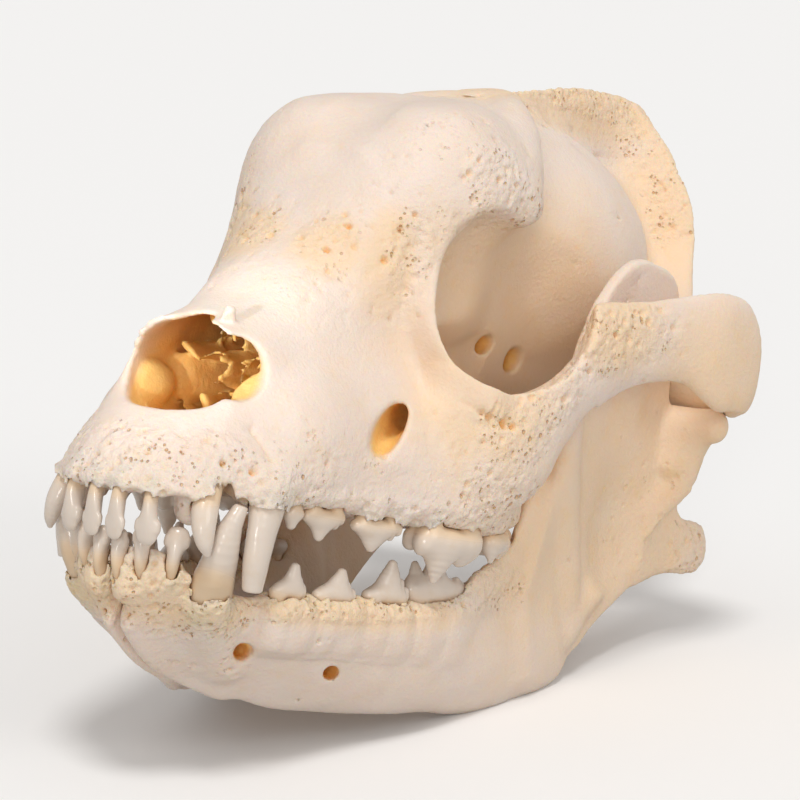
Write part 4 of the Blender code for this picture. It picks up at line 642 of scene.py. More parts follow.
# Corners of a cell, as (x, y, z) steps, and the twelve edges between them.
CORNERS = np.array([(i, j, k) for i in (0, 1) for j in (0, 1) for k in (0, 1)])
EDGES = [(a, b) for a in range(8) for b in range(a + 1, 8) if np.abs(CORNERS[a] - CORNERS[b]).sum() == 1]


def splits(case):
    """True for a cell whose surface would touch itself.

    On one of its sides only two opposite corners are inside, or its corners fall into two parts.
    """
    for axis in range(3):
        for side in (0, 1):
            inside = [c for c in range(8) if CORNERS[c][axis] == side and case >> c & 1]
            if len(inside) == 2 and np.abs(CORNERS[inside[0]] - CORNERS[inside[1]]).sum() == 2:
                return True
    for wanted in (True, False):
        left = {c for c in range(8) if bool(case >> c & 1) == wanted}
        if not left:
            continue
        reached, todo = set(), [min(left)]
        while todo:
            corner = todo.pop()
            reached.add(corner)
            todo += [b if a == corner else a for a, b in EDGES
                     if corner in (a, b) and (b if a == corner else a) in left - reached]
        if reached != left:
            return True
    return False


SPLIT = np.array([splits(case) for case in range(256)])


def cells(values):
    """Number of each cell's case: one bit for each corner that is inside."""
    inside = values < 0
    case = np.zeros([n - 1 for n in values.shape], np.uint8)
    for bit, (i, j, k) in enumerate(CORNERS):
        corner = inside[i:i + case.shape[0], j:j + case.shape[1], k:k + case.shape[2]]
        case |= corner.astype(np.uint8) << bit
    return case


def surface(field):
    """Vertices and four-sided faces of the closed surface where a field's values cross zero."""
    step = field.step
    values = np.pad(field.values, 1, constant_values=FAR)
    for _ in range(NUDGE_ROUNDS):
        where = np.argwhere(SPLIT[cells(values)])
        if not len(where):
            break
        for corner in CORNERS:
            at = tuple((where + corner).T)
            values[at] = np.where(values[at] > 0, -NUDGE * step, values[at])
    case = cells(values)
    active = np.argwhere((case > 0) & (case < 255))
    number = np.full(case.shape, -1, np.int64)
    number[tuple(active.T)] = np.arange(len(active))
    corner_values = np.stack([values[tuple((active + corner).T)] for corner in CORNERS], axis=1)
    total = np.zeros((len(active), 3))
    crossings = np.zeros(len(active))
    for a, b in EDGES:
        va, vb = corner_values[:, a], corner_values[:, b]
        crosses = (va < 0) != (vb < 0)
        part = np.where(crosses, va / np.where(crosses, va - vb, 1), 0)[:, None]
        total += np.where(crosses[:, None], CORNERS[a] + part * (CORNERS[b] - CORNERS[a]), 0)
        crossings += crosses
    points = field.low - step + step * (active + total / crossings[:, None])
    faces = []
    inside = values < 0
    for axis in range(3):
        one, two = [(1, 2), (2, 0), (0, 1)][axis]
        here = np.take(inside, np.arange(inside.shape[axis] - 1), axis)
        there = np.take(inside, np.arange(1, inside.shape[axis]), axis)
        for flips, start in ((False, here & ~there), (True, ~here & there)):
            edge = np.argwhere(start)
            step_one, step_two = np.eye(3, dtype=int)[one], np.eye(3, dtype=int)[two]
            quad = [number[tuple((edge - a * step_one - b * step_two).T)]
                    for a, b in ((1, 1), (0, 1), (0, 0), (1, 0))]
            quad = np.stack(quad[::-1] if flips else quad, axis=1)
            faces.append(quad)
    return points, np.concatenate(faces)


def largest_shell(points, faces):
    """The connected shell with the most vertices, which leaves out crumbs and closed hollows."""
    label = np.arange(len(points))
    while True:
        smallest = label[faces].min(axis=1)
        fresh = label.copy()
        for corner in range(4):
            np.minimum.at(fresh, faces[:, corner], smallest)
        fresh = fresh[fresh]
        if (fresh == label).all():
            break
        label = fresh
    kept = label == np.bincount(label).argmax()
    renumber = np.cumsum(kept) - 1
    return points[kept], renumber[faces[kept[faces[:, 0]]]]


def relaxed(points, faces, rounds, amount):
    """Points moved towards the mean of their neighbours, then back, which smooths without shrinking."""
    a = faces.ravel()
    b = np.roll(faces, -1, axis=1).ravel()
    count = np.bincount(a, minlength=len(points)) + np.bincount(b, minlength=len(points))
    for i in range(2 * rounds):
        total = np.zeros_like(points)
        for axis in range(3):
            total[:, axis] = (np.bincount(a, points[b, axis], len(points))
                              + np.bincount(b, points[a, axis], len(points)))
        push = amount if i % 2 == 0 else -PUSH_BACK * amount
        points = points + push * (total / count[:, None] - points)
    return points


def swept(points):
    """Points of the skull with the rear of each side drawn in and back."""
    x, y, z = points[:, 0], points[:, 1], points[:, 2]
    part = np.clip((y - SWEEP_FROM) / (SWEEP_TO - SWEEP_FROM), 0, 1)
    amount = SWEEP * part * part * (3 - 2 * part) * np.abs(x) / np.sqrt(1 + (x / SWEEP_REACH) ** 2)
    return np.stack([x + np.sign(x) * SWEEP_WAY[0] * amount, y + SWEEP_WAY[1] * amount,
                     z + (SWEEP_FALL[0] + SWEEP_FALL[1] * z) * amount], axis=1)


def tipped(points):
    """Points turned nose-up about X, as the skull lies."""
    c, s = math.cos(math.radians(REST_PITCH)), math.sin(math.radians(REST_PITCH))
    x, y, z = points.T
    return np.stack([x, y * c + z * s, -y * s + z * c], axis=1)


def to_rest(points):
    """From the skull's own frame, in millimetres, to the one in which it lies, in metres."""
    return (tipped(swept(points)) - REST_SHIFT) / 1000


def sampled(field, points):
    """Distance of each point to the surface of a field of the left side, which the right side mirrors."""
    places = np.stack([np.abs(points[:, 0]), points[:, 1], points[:, 2]], axis=1)
    steps = (places - field.low) / field.step
    first = np.clip(np.floor(steps).astype(int), 0, np.array(field.values.shape) - 2)
    part = np.clip(steps - first, 0, 1)
    total = np.zeros(len(points))
    for corner in CORNERS:
        weight = np.prod(np.where(corner, part, 1 - part), axis=1)
        total += weight * field.values[tuple((first + corner).T)]
    return total


def copy_of(field):
    """A field with the same values, to cut without changing the first."""
    made = Field(field.axes, field.step)
    made.values = field.values.copy()
    return made


def both_sides(field):
    """Field of the whole bone from the field of its left half."""
    across = field.axes[0]
    made = Field([np.concatenate([-across[:0:-1], across])] + field.axes[1:], field.step)
    made.values = np.concatenate([field.values[:0:-1], field.values])
    return made


# Scrolls of thin bone in the left half of the nose: three places along each, from front to back, and
# its radius at the back.
SCROLLS = [((5.6, 40, 29.6), (6.6, 56, 30), (7.4, 78, 31), 4.8),
           ((9.8, 37, 21.4), (9.6, 58, 21.6), (10, 78, 24), 4.6),
           ((14.2, 44, 27), (14, 56, 28), (13.6, 78, 31), 3.3),
           ((2.6, 50, 22.4), (3, 60, 23), (3.4, 78, 26), 2.8),
           ((8, 50, 38), (8.4, 64, 38), (8.6, 82, 41), 5.2),
           ((14, 60, 36), (13.6, 66, 36.6), (13, 80, 40), 3.0)]
SCROLL_WALL = 1.4  # thickness of a scroll's wall
SCROLL_FRONT, SCROLL_MIDDLE = 0.7, 1.1  # shares of that radius in front and in the middle
SCROLL_TURN = 1.9  # radians from the side on which one scroll lies open to that of the next


def add_rolled_bones(bone):
    """Thin, crumpled scrolls of bone inside the left half of the nose, and the bulge on its side wall."""
    rolled = Field(bone.axes, bone.step)
    for start, middle, end, radius in SCROLLS:
        rolled.add(rod([start + (radius * SCROLL_FRONT,), middle + (radius * SCROLL_MIDDLE,),
                        end + (radius,)]), 0.6)
    for number, (start, middle, end, radius) in enumerate(SCROLLS):
        bore = radius - SCROLL_WALL
        rolled.cut(rod([(start[0], start[1] - radius, start[2], bore), middle + (bore * SCROLL_MIDDLE,),
                        end + (bore,)]), 0.4)
        across, up = math.cos(number * SCROLL_TURN), math.sin(number * SCROLL_TURN)
        rolled.cut(bar([(x + radius * across, y - 2, z + radius * up, radius * 0.8, radius * 0.62)
                        for x, y, z in (start, middle, end)], (0.3, 0, 1)), 0.5)
    rolled.add(bar([(3, 38, 20, 4, 0.9), (6, 50, 19, 5, 0.9), (8, 76, 22, 5, 1)], (0.6, 0, 1)), 0.5)
    rolled.add(bar([(11, 40, 33, 3.6, 0.9), (12, 54, 34, 4.5, 0.9), (12, 78, 36, 5, 1)], (1, 0, 0.7)), 0.5)
    rolled.add(blob((15.6, 31, 23.4), (4.4, 8.5, 6.6), (10, 0, 0)), 1)
    bone.values = smooth_min(bone.values, rolled.values, 1.0)


def add_left_details(bone):
    """The broken edge of the nose on the left, with a thin spike that hangs from its roof."""
    bone.cut(blob((16.8, 20.5, 32), (6.5, 9.0, 9.0)), 1.2)
    bone.add(rod([(8.4, 25, 44, 1.6), (8.2, 27.4, 40.6, 1.1), (8.0, 29.8, 37, 0.6)]), 1)


def stepped(values, low, high):
    """0 below low, 1 above high, and smooth between."""
    part = np.clip((values - low) / (high - low), 0, 1)
    return part * part * (3 - 2 * part)


def mesh_of(name, points, faces):
    """Mesh of points and of faces that all have the same number of corners."""
    mesh = bpy.data.meshes.new(name)
    corners = faces.shape[1]
    mesh.vertices.add(len(points))
    mesh.vertices.foreach_set("co", np.ascontiguousarray(points, np.float32).ravel())
    mesh.loops.add(faces.size)
    mesh.loops.foreach_set("vertex_index", np.ascontiguousarray(faces, np.int32).ravel())
    mesh.polygons.add(len(faces))
    mesh.polygons.foreach_set("loop_start", np.arange(0, faces.size, corners, dtype=np.int32))
    mesh.update(calc_edges=True)
    mesh.validate()
    return mesh


def in_scene(name, data):
    """New object in the scene that holds a mesh, a light or a camera."""
    made = bpy.data.objects.new(name, data)
    bpy.context.scene.collection.objects.link(made)
    return made


KEPT_WEIGHT = 0.25  # weight of the places that keep more of their triangles, where the rest has 1


def thinned(points, faces, budget, kept):
    """Points and triangles of the same shape with about budget triangles, finest where kept is true."""
    mesh = mesh_of("full", points, faces)
    full = in_scene("full", mesh)
    thin = full.modifiers.new("Thin out", "DECIMATE")  # it counts a four-sided face as two triangles
    thin.ratio = min(1.0, budget / (2 * len(faces)))
    group = full.vertex_groups.new(name="plain")
    group.add(np.flatnonzero(~kept).tolist(), 1.0, "REPLACE")
    group.add(np.flatnonzero(kept).tolist(), KEPT_WEIGHT, "REPLACE")
    thin.vertex_group = group.name
    result = full.evaluated_get(bpy.context.evaluated_depsgraph_get()).data
    result.calc_loop_triangles()
    corners = np.empty(len(result.vertices) * 3, np.float32)
    result.vertices.foreach_get("co", corners)
    triangles = np.empty(len(result.loop_triangles) * 3, np.int32)
    result.loop_triangles.foreach_get("vertices", triangles)
    bpy.data.objects.remove(full, do_unlink=True)
    bpy.data.meshes.remove(mesh)
    return corners.reshape(-1, 3).astype(float), triangles.reshape(-1, 3)


def normals_of(points, faces):
    """Outward unit normal at each point."""
    a, b, c = [points[faces[:, corner]] for corner in range(3)]
    face_normals = np.cross(b - a, c - a)
    total = np.zeros_like(points)
    for corner in range(faces.shape[1]):
        for axis in range(3):
            total[:, axis] += np.bincount(faces[:, corner], face_normals[:, axis], len(points))
    return total / np.maximum(np.linalg.norm(total, axis=1), 1e-9)[:, None]


def near(points, *patches, soft=0.5):
    """How deep each point lies in the nearest of some ellipsoids: 1 inside, 0 well outside.

    Each patch is x, y, z and a half size for each axis, for the left side; the right side mirrors it.
    """
    most = np.zeros(len(points))
    for x, y, z, across, along, high in patches:
        for side in (-1, 1):
            apart = np.sqrt(((points[:, 0] - side * x) / across) ** 2 + ((points[:, 1] - y) / along) ** 2
                            + ((points[:, 2] - z) / high) ** 2)
            most = np.maximum(most, np.clip((1 + soft - apart) / soft, 0, 1))
    return most * most * (3 - 2 * most)


def wavy(points, *waves):
    """Smooth noise at each point. Each wave is its size in millimetres, its height and its seed."""
    return sum(height * np.array([noise.noise(place) for place in (points / size + seed).tolist()])
               for size, height, seed in waves)


def pitted(points, normals, centres, widths, depths):
    """Points pushed in around the centres, which makes round pits of those widths and depths."""
    tree = kdtree.KDTree(len(points))
    for i, point in enumerate(points.tolist()):
        tree.insert(point, i)
    tree.balance()
    push = np.zeros(len(points))
    for centre, wide, deep in zip(centres, widths, depths):
        for _, i, apart in tree.find_range(centre, wide):
            push[i] = max(push[i], deep * (1 - (apart / wide) ** 2))
    return points - normals * push[:, None]


def grooved(points, normals, lines):
    """Points pushed in along cracks, each with its width, its depth and the places that it runs through."""
    push = np.zeros(len(points))
    for wide, deep, places in lines:
        for start, end in zip(places[:-1], places[1:]):
            start, along = np.array(start), np.array(end) - np.array(start)
            share = np.clip((points - start) @ along / (along @ along), 0, 1)
            apart = np.linalg.norm(points - start - share[:, None] * along, axis=1)
            push = np.maximum(push, deep * np.exp(-(apart / wide) ** 2))
    return points - normals * push[:, None]


EASE = 0.004  # metres over which what would stand out of the solid model's box is eased back


def kept_inside(points):
    """Points of the resting skull, eased back where they would leave the solid model's box or the table."""
    low, high = [np.array(corner) for corner in CAD_BOX]
    for axis in range(3):
        over = np.maximum(points[:, axis] - (high[axis] - EASE), 0)
        points[:, axis] += EASE * (1 - np.exp(-over / EASE)) - over
        if axis < 2:
            under = np.maximum(low[axis] + EASE - points[:, axis], 0)
            points[:, axis] -= EASE * (1 - np.exp(-under / EASE)) - under
    points[:, 2] = np.maximum(points[:, 2], 0.0)
    return points


# Places on the bones, as patches for near().
PALATE = [(0, 60, 0, 27, 70, 8)]
ROUGH_PLACES = [(6, 0, 5, 14, 8, 9), (20, 9, 6, 12, 10, 7), (30, 26, 3, 8, 14, 5), (36, 52, -1, 8, 26, 4),
                (42, 84, -3, 9, 22, 5), (49, 98, 5, 7, 12, 11), (52, 97, 24, 6, 11, 6),
                (60, 118, 50, 6, 14, 7), (56, 108, 36, 4, 9, 7), (66, 132, 54, 6, 12, 5),
                (27, 75, 66, 4, 6, 10), (37, 98, 87, 6, 10, 8), (38, 108, 82, 6, 8, 6), (10, 62, 66, 5, 5, 5),
                (2, 205, 122, 8, 46, 4), (10, 238, 116, 9, 8, 9), (24, 234, 96, 7, 6, 26),
                (6, 3, -25, 16, 8, 8), (15, 14, -27, 10, 10, 8), (12, 26, -28, 8, 10, 5),
                (22, 38, -24, 7, 10, 4), (31, 70, -24, 8, 34, 3), (42, 108, -18, 6, 16, 5),
                (55, 207, -3, 7, 8, 8)]
FAINT_PLACES = [(4, 4, -34, 16, 14, 16), (16, 24, -34, 12, 18, 12), (32, 46, 6, 12, 30, 12),
                (44, 90, 10, 12, 26, 16), (33, 88, 84, 14, 22, 24), (16, 60, 60, 18, 18, 14),
                (62, 124, 48, 14, 30, 14), (54, 186, 4, 10, 24, 22), (4, 210, 118, 12, 60, 14),
                (24, 72, 68, 10, 14, 18), (54, 110, 34, 8, 16, 16)]
# The yellow places are partly fat stain and partly painted shade in shaded spots, such as under the cheek
# arch and in the orbit.
STAIN_AND_SHADE_PLACES = [(12, 60, 64, 6, 6, 5), (24, 70, 62, 4, 6, 9), (46, 92, 24, 8, 12, 6),
                 (4, 196, 120, 12, 60, 6), (27, 232, 92, 12, 14, 34), (26, 132, 52, 12, 34, 22),
                 (12, 16, -24, 16, 14, 5),
                 (78, 168, 44, 8, 20, 12), (56, 186, 22, 12, 18, 22), (50, 172, 6, 10, 30, 24),
                 (32, 70, -25, 8, 40, 3), (44, 150, 4, 8, 30, 26), (64, 122, 56, 6, 12, 8),
                 (40, 110, 30, 10, 24, 16)]

# Small holes in the surface of each bone: the place on the left, a radius and a depth.
HOLES = {"cranium": [
    ((21.6, 10.9, 8.3), 1.3, 2.6), ((26.1, 17.4, 7.1), 1.2, 2.2), ((49.1, 88.6, 26.8), 1.5, 2.6),
    ((48.0, 86.4, 27.6), 1.2, 1.8), ((51.1, 93.2, 25.7), 1.7, 3.2), ((52.2, 95.6, 25.2), 1.4, 2.6),
    ((63.4, 123.4, 52.4), 1.1, 2.0), ((61.2, 116.3, 41.9), 1.1, 1.8), ((3.3, 3.6, 13.4), 0.9, 1.4),
    ((24.3, 73.1, 70.6), 1.1, 1.8), ((23.5, 69.1, 62.4), 1.3, 2.0), ((26.3, 76, 74.9), 1.1, 1.6),
    ((12, 59, 62.7), 1.2, 1.8), ((14.1, 65, 69.6), 1.1, 1.6), ((4.6, 58.4, 64.8), 1.1, 1.4),
    ((37.3, 97.7, 87.5), 1.1, 1.6), ((34.2, 91.4, 91.6), 1.0, 1.4)],
    "mandible_left": [((3.4, 7.0, -31.0), 1.1, 2.0), ((9.5, 10, -31), 1.0, 1.6), ((30, 52, -33), 0.9, 1.2)]}
# Cracks in the left side of each bone: a width, a depth and the places that the crack runs through.
CRACKS = {"cranium": [
    (0.5, 0.8, [(21.0, 24, 19), (21.8, 20.3, 16.7), (24.6, 21.4, 13.4), (27.5, 21.8, 10.3),
                (29.4, 26.4, 6.0), (31.4, 31.6, 1.6)]),
    (0.5, 0.6, [(44, 82, 30), (48, 86.5, 27.6), (51, 93, 25.7), (53.5, 99, 25)]),
    (0.5, 0.5, [(8, 3, 13), (12, 5.4, 9), (14.8, 3.6, 3)]),
    (0.6, 0.6, [(56, 108, 36), (60, 116, 45), (64, 125, 50), (68, 136, 51)])],
    "mandible_left": [(0.5, 0.6, [(12, 14, -28), (16, 22, -28.5), (19, 30, -27)])]}

# Waves in the surface, as wavy() takes them.
STIR = (9.0, 0.35, 3.1)  # breaks up the edges of what is painted on the bones
BROAD_WAVES = ((22.0, 0.7, 1.7), (7.0, 0.3, 5.3))
ROUGH_WAVES = ((3.0, 0.15, 9.1), (1.4, 0.26, 2.2))
NOSE_WAVES = ((5.0, 0.6, 6.1), (2.0, 0.2, 4.2))
NOSE_FRONT, NOSE_BACK, NOSE_FLOOR = 24, 88, 12  # where the crumpled inside of the nose lies, along Y and Z
HOLLOW_DEPTHS = (0.7, 3.4)  # depths in the uncut bone at which a hollow's colour, a painted glow, starts and is full
RECESS_SHADE_DEPTHS = (-0.2, 1.6)  # the same for the yellow painted as shade in recesses
FAINT_SHARE = 0.35  # how rough the faint places are, against the rough ones
SEAM_STILL = 1.0  # distance from the middle within which the chin seam of a jaw half has no waves
SEAM_CALM = 3.0  # distance beyond it over which they grow to their full height
PIT_LEAST, PIT_SPREAD = 0.62, 0.6  # radius of the smallest pits, and how much larger others are
ROUGH_ENOUGH = 0.5  # roughness from which a place keeps more of its triangles
CROWN_BLEND = 3.0  # height over which a tooth's root turns to crown
NECK_REACH = 2.0  # half height of its stained neck

# Height of the gum line along each jaw: places along Y, and the height there.
GUM_LINES = {"upper": ([-5, 10, 25, 40, 60, 90, 120], [-2, -0.5, 0.5, -1, -2.5, -4, -4]),
             "lower": ([-5, 10, 25, 40, 60, 90, 120], [-18, -17.5, -21, -23, -24, -23, -21])}


def bone_marks(points, body):
    """Values painted on each point of a bone: hollow, a painted glow by its depth in the uncut body, rough,
    and yellow, fat stain with painted shade.
    """
    stir = wavy(points, STIR)
    depth = -sampled(body, points)
    hollow = stepped(depth + stir, *HOLLOW_DEPTHS) * (1 - near(points, *PALATE, soft=0.3))
    rough = np.maximum(near(points, *ROUGH_PLACES, soft=0.8),
                       FAINT_SHARE * near(points, *FAINT_PLACES, soft=0.8))
    rough = np.clip(rough + stir * 0.5 - 0.08, 0, 1)
    # yellow: fat stain and painted shade at the listed places, and painted shade in recesses by their depth
    yellow = (0.75 * near(points, *STAIN_AND_SHADE_PLACES, soft=1.4) + stir * 0.5
              + 0.7 * stepped(depth, *RECESS_SHADE_DEPTHS))
    return {"hollow": hollow, "rough": rough, "yellow": np.clip(yellow, 0, 1)}


def stand_for(piece, node):
    """Lets a piece ride on the skull's one body in place of a node of the solid model."""
    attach(piece, "root")
    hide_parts(node)


def finish_piece(name, points, faces, marks, material, node):
    """Object in place on the resting skull, with its painted values, standing for its solid."""
    mesh = mesh_of(name, kept_inside(to_rest(points)), faces)
    for word, values in marks.items():
        mesh.attributes.new(word, "FLOAT", "POINT").data.foreach_set("value", values.astype(np.float32))
    mesh.shade_smooth()
    mesh.materials.append(bpy.data.materials[material])
    piece = in_scene(name, mesh)
    stand_for(piece, node)
    return piece


def bone_piece(name, field, body, budget, pits, node):
    """A bone's surface from its field, with pits, holes, cracks and small waves, as a finished piece."""
    points, faces = largest_shell(*surface(field))
    points = relaxed(points, faces, 2, 0.5)
    marks = bone_marks(points, body)
    normals = normals_of(points, faces)
    random = np.random.default_rng(pits)
    likely = (marks["rough"] ** 1.5 + 0.002) * (1 - marks["hollow"])
    chosen = random.choice(len(points), size=pits, p=likely / likely.sum(), replace=False)
    widths = PIT_LEAST + PIT_SPREAD * random.random(pits) ** 3
    points = pitted(points, normals, points[chosen].tolist(), widths, widths * random.uniform(0.3, 1.0, pits))
    holes = [((side * x, y, z), wide, deep) for (x, y, z), wide, deep in HOLES[node] for side in (1, -1)]
    points = pitted(points, normals, *zip(*holes))
    points = grooved(points, normals, CRACKS[node])
    points, faces = thinned(points, faces, budget, marks["rough"] > ROUGH_ENOUGH)
    marks = bone_marks(points, body)
    normals = normals_of(points, faces)
    relief = wavy(points, *BROAD_WAVES)
    relief += marks["rough"] * wavy(points, *ROUGH_WAVES)
    x, y, z = points.T
    nose = marks["hollow"] * (y > NOSE_FRONT) * (y < NOSE_BACK) * (z > NOSE_FLOOR)
    relief += nose * wavy(points, *NOSE_WAVES)
    if node != "cranium":
        relief *= np.clip((x - SEAM_STILL) / SEAM_CALM, 0, 1)
    return finish_piece(name, points + normals * relief[:, None], faces, marks, "dry bone", node)


def tooth_piece(name, tooth, step, right):
    """A tooth's surface, on the left or mirrored to the right, with its crown and root told apart."""
    field = grid(tooth.low - 3 * step, tooth.high + 3 * step, step)
    field.add(tooth)
    if name in WORN_TIPS:
        field.cut(half_space(*WORN_TIPS[name]), 0.5)
    points, faces = largest_shell(*surface(field))
    points = relaxed(points, faces, 1, 0.4)
    jaw = name.split("_")[0]
    line = np.interp(points[:, 1], *GUM_LINES[jaw])
    grow = {"upper": -1, "lower": 1}[jaw]
    crown = np.clip(grow * (points[:, 2] - line) / CROWN_BLEND + 0.5, 0, 1)
    neck = np.exp(-((points[:, 2] - line) / NECK_REACH) ** 2)
    seed = len(name) + points[:, 1].mean()
    points = points + normals_of(points, faces) * wavy(points, (4.0, 0.12, seed))[:, None]
    if right:
        points, faces = points * np.array([-1, 1, 1]), faces[:, ::-1]
        name = name.replace("_left", "_right")
    finish_piece(name, points, faces, {"crown": crown, "neck": neck}, "tooth", name)


def feed(tree, value, socket):
    """Puts a number, a colour or the output of another node into a socket."""
    if isinstance(value, bpy.types.NodeSocket):
        tree.links.new(value, socket)
    else:
        socket.default_value = value


def new_node(tree, kind, inputs):
    """Shader node of a kind, with the named inputs fed."""
    node = tree.nodes.new("ShaderNode" + kind)
    for word, value in inputs.items():
        feed(tree, value, node.inputs[word])
    return node


def math_node(tree, operation, a, b, clamp=False):
    """Output of a math node whose inputs are sockets or numbers."""
    node = tree.nodes.new("ShaderNodeMath")
    node.operation = operation
    node.use_clamp = clamp
    for socket, value in zip(node.inputs, (a, b)):
        feed(tree, value, socket)
    return node.outputs[0]


def times(tree, a, b):
    """Output of a node that multiplies."""
    return math_node(tree, "MULTIPLY", a, b)


def noise_of(tree, coordinates, scale, detail, roughness=0.5):
    """Output of a noise texture."""
    return new_node(tree, "TexNoise", {"Vector": coordinates, "Scale": scale, "Detail": detail,
                                       "Roughness": roughness}).outputs["Fac"]


def ramp(tree, value, low, high):
    """Value stretched so that low becomes 0 and high becomes 1."""
    node = new_node(tree, "MapRange", {"Value": value, "From Min": low, "From Max": high})
    node.interpolation_type = "SMOOTHSTEP"
    return node.outputs["Result"]


MIX_INPUTS, MIX_OUTPUT = (0, 6, 7), 2  # a Mix node's sockets for an amount and two colours, and its result


def mixed(tree, amount, a, b):
    """Colour between a and b, which are sockets or colours."""
    node = tree.nodes.new("ShaderNodeMix")
    node.data_type = "RGBA"
    for index, value in zip(MIX_INPUTS, (amount, a, b)):
        feed(tree, value, node.inputs[index])
    return node.outputs[MIX_OUTPUT]


def attribute(tree, name):
    """Output of the value painted on the mesh under a name."""
    node = tree.nodes.new("ShaderNodeAttribute")
    node.attribute_name = name
    return node.outputs["Fac"]


def new_group(name, inputs, outputs):
    """Shader node group, what it is given (a Vector and numbers) and what it puts out (numbers)."""
    group = bpy.data.node_groups.new(name, "ShaderNodeTree")
    group.interface.new_socket(name="Vector", in_out="INPUT", socket_type="NodeSocketVector")
    for way, words in (("INPUT", inputs), ("OUTPUT", outputs)):
        for word in words:
            group.interface.new_socket(name=word, in_out=way, socket_type="NodeSocketFloat")
    given = group.nodes.new("NodeGroupInput").outputs
    return group, given, group.nodes.new("NodeGroupOutput").inputs


PORES = ((620.0, 0.30), (300.0, 0.24))  # how many cells there are to a metre, and a pore's share of its cell


def pore_group():
    """Mask of small round pores of two sizes, in drifts."""
    group, given, result = new_group("Bone pores", ["Amount"], ["Mask"])
    masks = []
    for scale, wide in PORES:
        spots = new_node(group, "TexVoronoi", {"Vector": given["Vector"], "Scale": scale})
        pore = ramp(group, spots.outputs["Distance"], wide, wide * 0.45)
        gate = ramp(group, noise_of(group, given["Vector"], scale * 0.22, 2.0), 0.5, 0.62)
        masks.append(times(group, pore, gate))
    both = math_node(group, "MAXIMUM", *masks)
    feed(group, math_node(group, "MULTIPLY", both, given["Amount"], True), result["Mask"])
    return group


def grain_group():
    """Fine uneven grain of bone, slow clouds of tone and small specks."""
    group, given, result = new_group("Bone grain", ["Roughness"], ["Height", "Clouds", "Specks"])
    vector = given["Vector"]
    fine = times(group, noise_of(group, vector, 900.0, 4.0, 0.6), 0.35)
    coarse = times(group, noise_of(group, vector, 330.0, 3.0, 0.6), given["Roughness"])
    feed(group, math_node(group, "ADD", fine, coarse), result["Height"])
    feed(group, ramp(group, noise_of(group, vector, 45.0, 4.0, 0.55), 0.38, 0.66), result["Clouds"])
    feed(group, ramp(group, noise_of(group, vector, 190.0, 5.0, 0.7), 0.5, 0.72), result["Specks"])
    return group


def placed_group(tree, group, inputs):
    """Outputs of a node group in a material, with the named inputs fed."""
    node = tree.nodes.new("ShaderNodeGroup")
    node.node_tree = group
    for word, value in inputs.items():
        feed(tree, value, node.inputs[word])
    return node.outputs


def start_material(name, looks):
    """New material's node tree and its shader's inputs, with some looks set."""
    made = bpy.data.materials.new(name)
    made.use_nodes = True
    tree = made.node_tree
    shader = tree.nodes["Principled BSDF"].inputs
    for word, value in looks.items():
        shader[word].default_value = value
    return tree, shader


def object_place(tree):
    """Coordinates on the object itself."""
    return tree.nodes.new("ShaderNodeTexCoord").outputs["Object"]


def bone_material(colours, pores, grain):
    """Dry bone: clouded, yellowed by fat stain and by painted shade, porous and grainy where it is rough,
    with painted shade in its pores, and a painted orange glow in its hollows.
    """
    tree, shader = start_material("dry bone", {
        "Subsurface Weight": 0.3, "Subsurface Radius": (1.0, 0.5, 0.2), "Subsurface Scale": 0.004,
        "Specular IOR Level": 0.4})
    where = object_place(tree)
    hollow, rough, yellow = [attribute(tree, word) for word in ("hollow", "rough", "yellow")]
    pore = placed_group(tree, pores, {"Vector": where, "Amount": ramp(tree, rough, 0.15, 0.75)})["Mask"]
    texture = placed_group(tree, grain, {
        "Vector": where, "Roughness": math_node(tree, "ADD", times(tree, rough, 1.5), 0.1)})
    tone = mixed(tree, times(tree, texture["Clouds"], 0.45), tuple(colours.bone), tuple(colours.pale_bone))
    # Yellow mix: fat stain and painted shade in recesses and shaded places
    stain_and_shade = times(tree, math_node(tree, "ADD", yellow, times(tree, texture["Specks"], 0.3)), 0.85)
    tone = mixed(tree, stain_and_shade, tone, tuple(colours.stain_and_shade_yellow))
    # Painted shade inside the small pores
    tone = mixed(tree, times(tree, pore, 0.7), tone, tuple(colours.pore))
    # Painted glow of light through thin bone in the hollows
    feed(tree, mixed(tree, hollow, tone, tuple(colours.hollow)), shader["Base Color"])
    feed(tree, math_node(tree, "ADD", times(tree, rough, 0.2), 0.48), shader["Roughness"])
    height = math_node(tree, "SUBTRACT", texture["Height"], times(tree, pore, 1.4))
    bump = new_node(tree, "Bump", {"Strength": 0.8, "Distance": 0.0009, "Height": height})
    feed(tree, bump.outputs["Normal"], shader["Normal"])


def tooth_material(colours, grain):
    """Tooth: pale glossy crown, darker and duller root, and a stained neck between them."""
    tree, shader = start_material("tooth", {
        "Subsurface Weight": 0.12, "Subsurface Radius": (1.0, 0.7, 0.45), "Subsurface Scale": 0.002,
        "Coat Weight": 0.25, "Coat Roughness": 0.12})
    crown, neck = [attribute(tree, word) for word in ("crown", "neck")]
    texture = placed_group(tree, grain, {"Vector": object_place(tree), "Roughness": 0.2})
    tone = mixed(tree, crown, tuple(colours.root), tuple(colours.enamel))
    tone = mixed(tree, times(tree, neck, 0.45), tone, tuple(colours.stain_and_shade_yellow))
    tone = mixed(tree, times(tree, texture["Specks"], 0.3), tone, tuple(colours.root))
    feed(tree, tone, shader["Base Color"])
    feed(tree, math_node(tree, "SUBTRACT", 0.5, times(tree, crown, 0.27)), shader["Roughness"])
    bump = new_node(tree, "Bump", {"Strength": 0.2, "Distance": 0.0003, "Height": texture["Height"]})
    feed(tree, bump.outputs["Normal"], shader["Normal"])


FLOOR_DIM = 0.6  # share of its own brightness that the floor throws back up on the skull


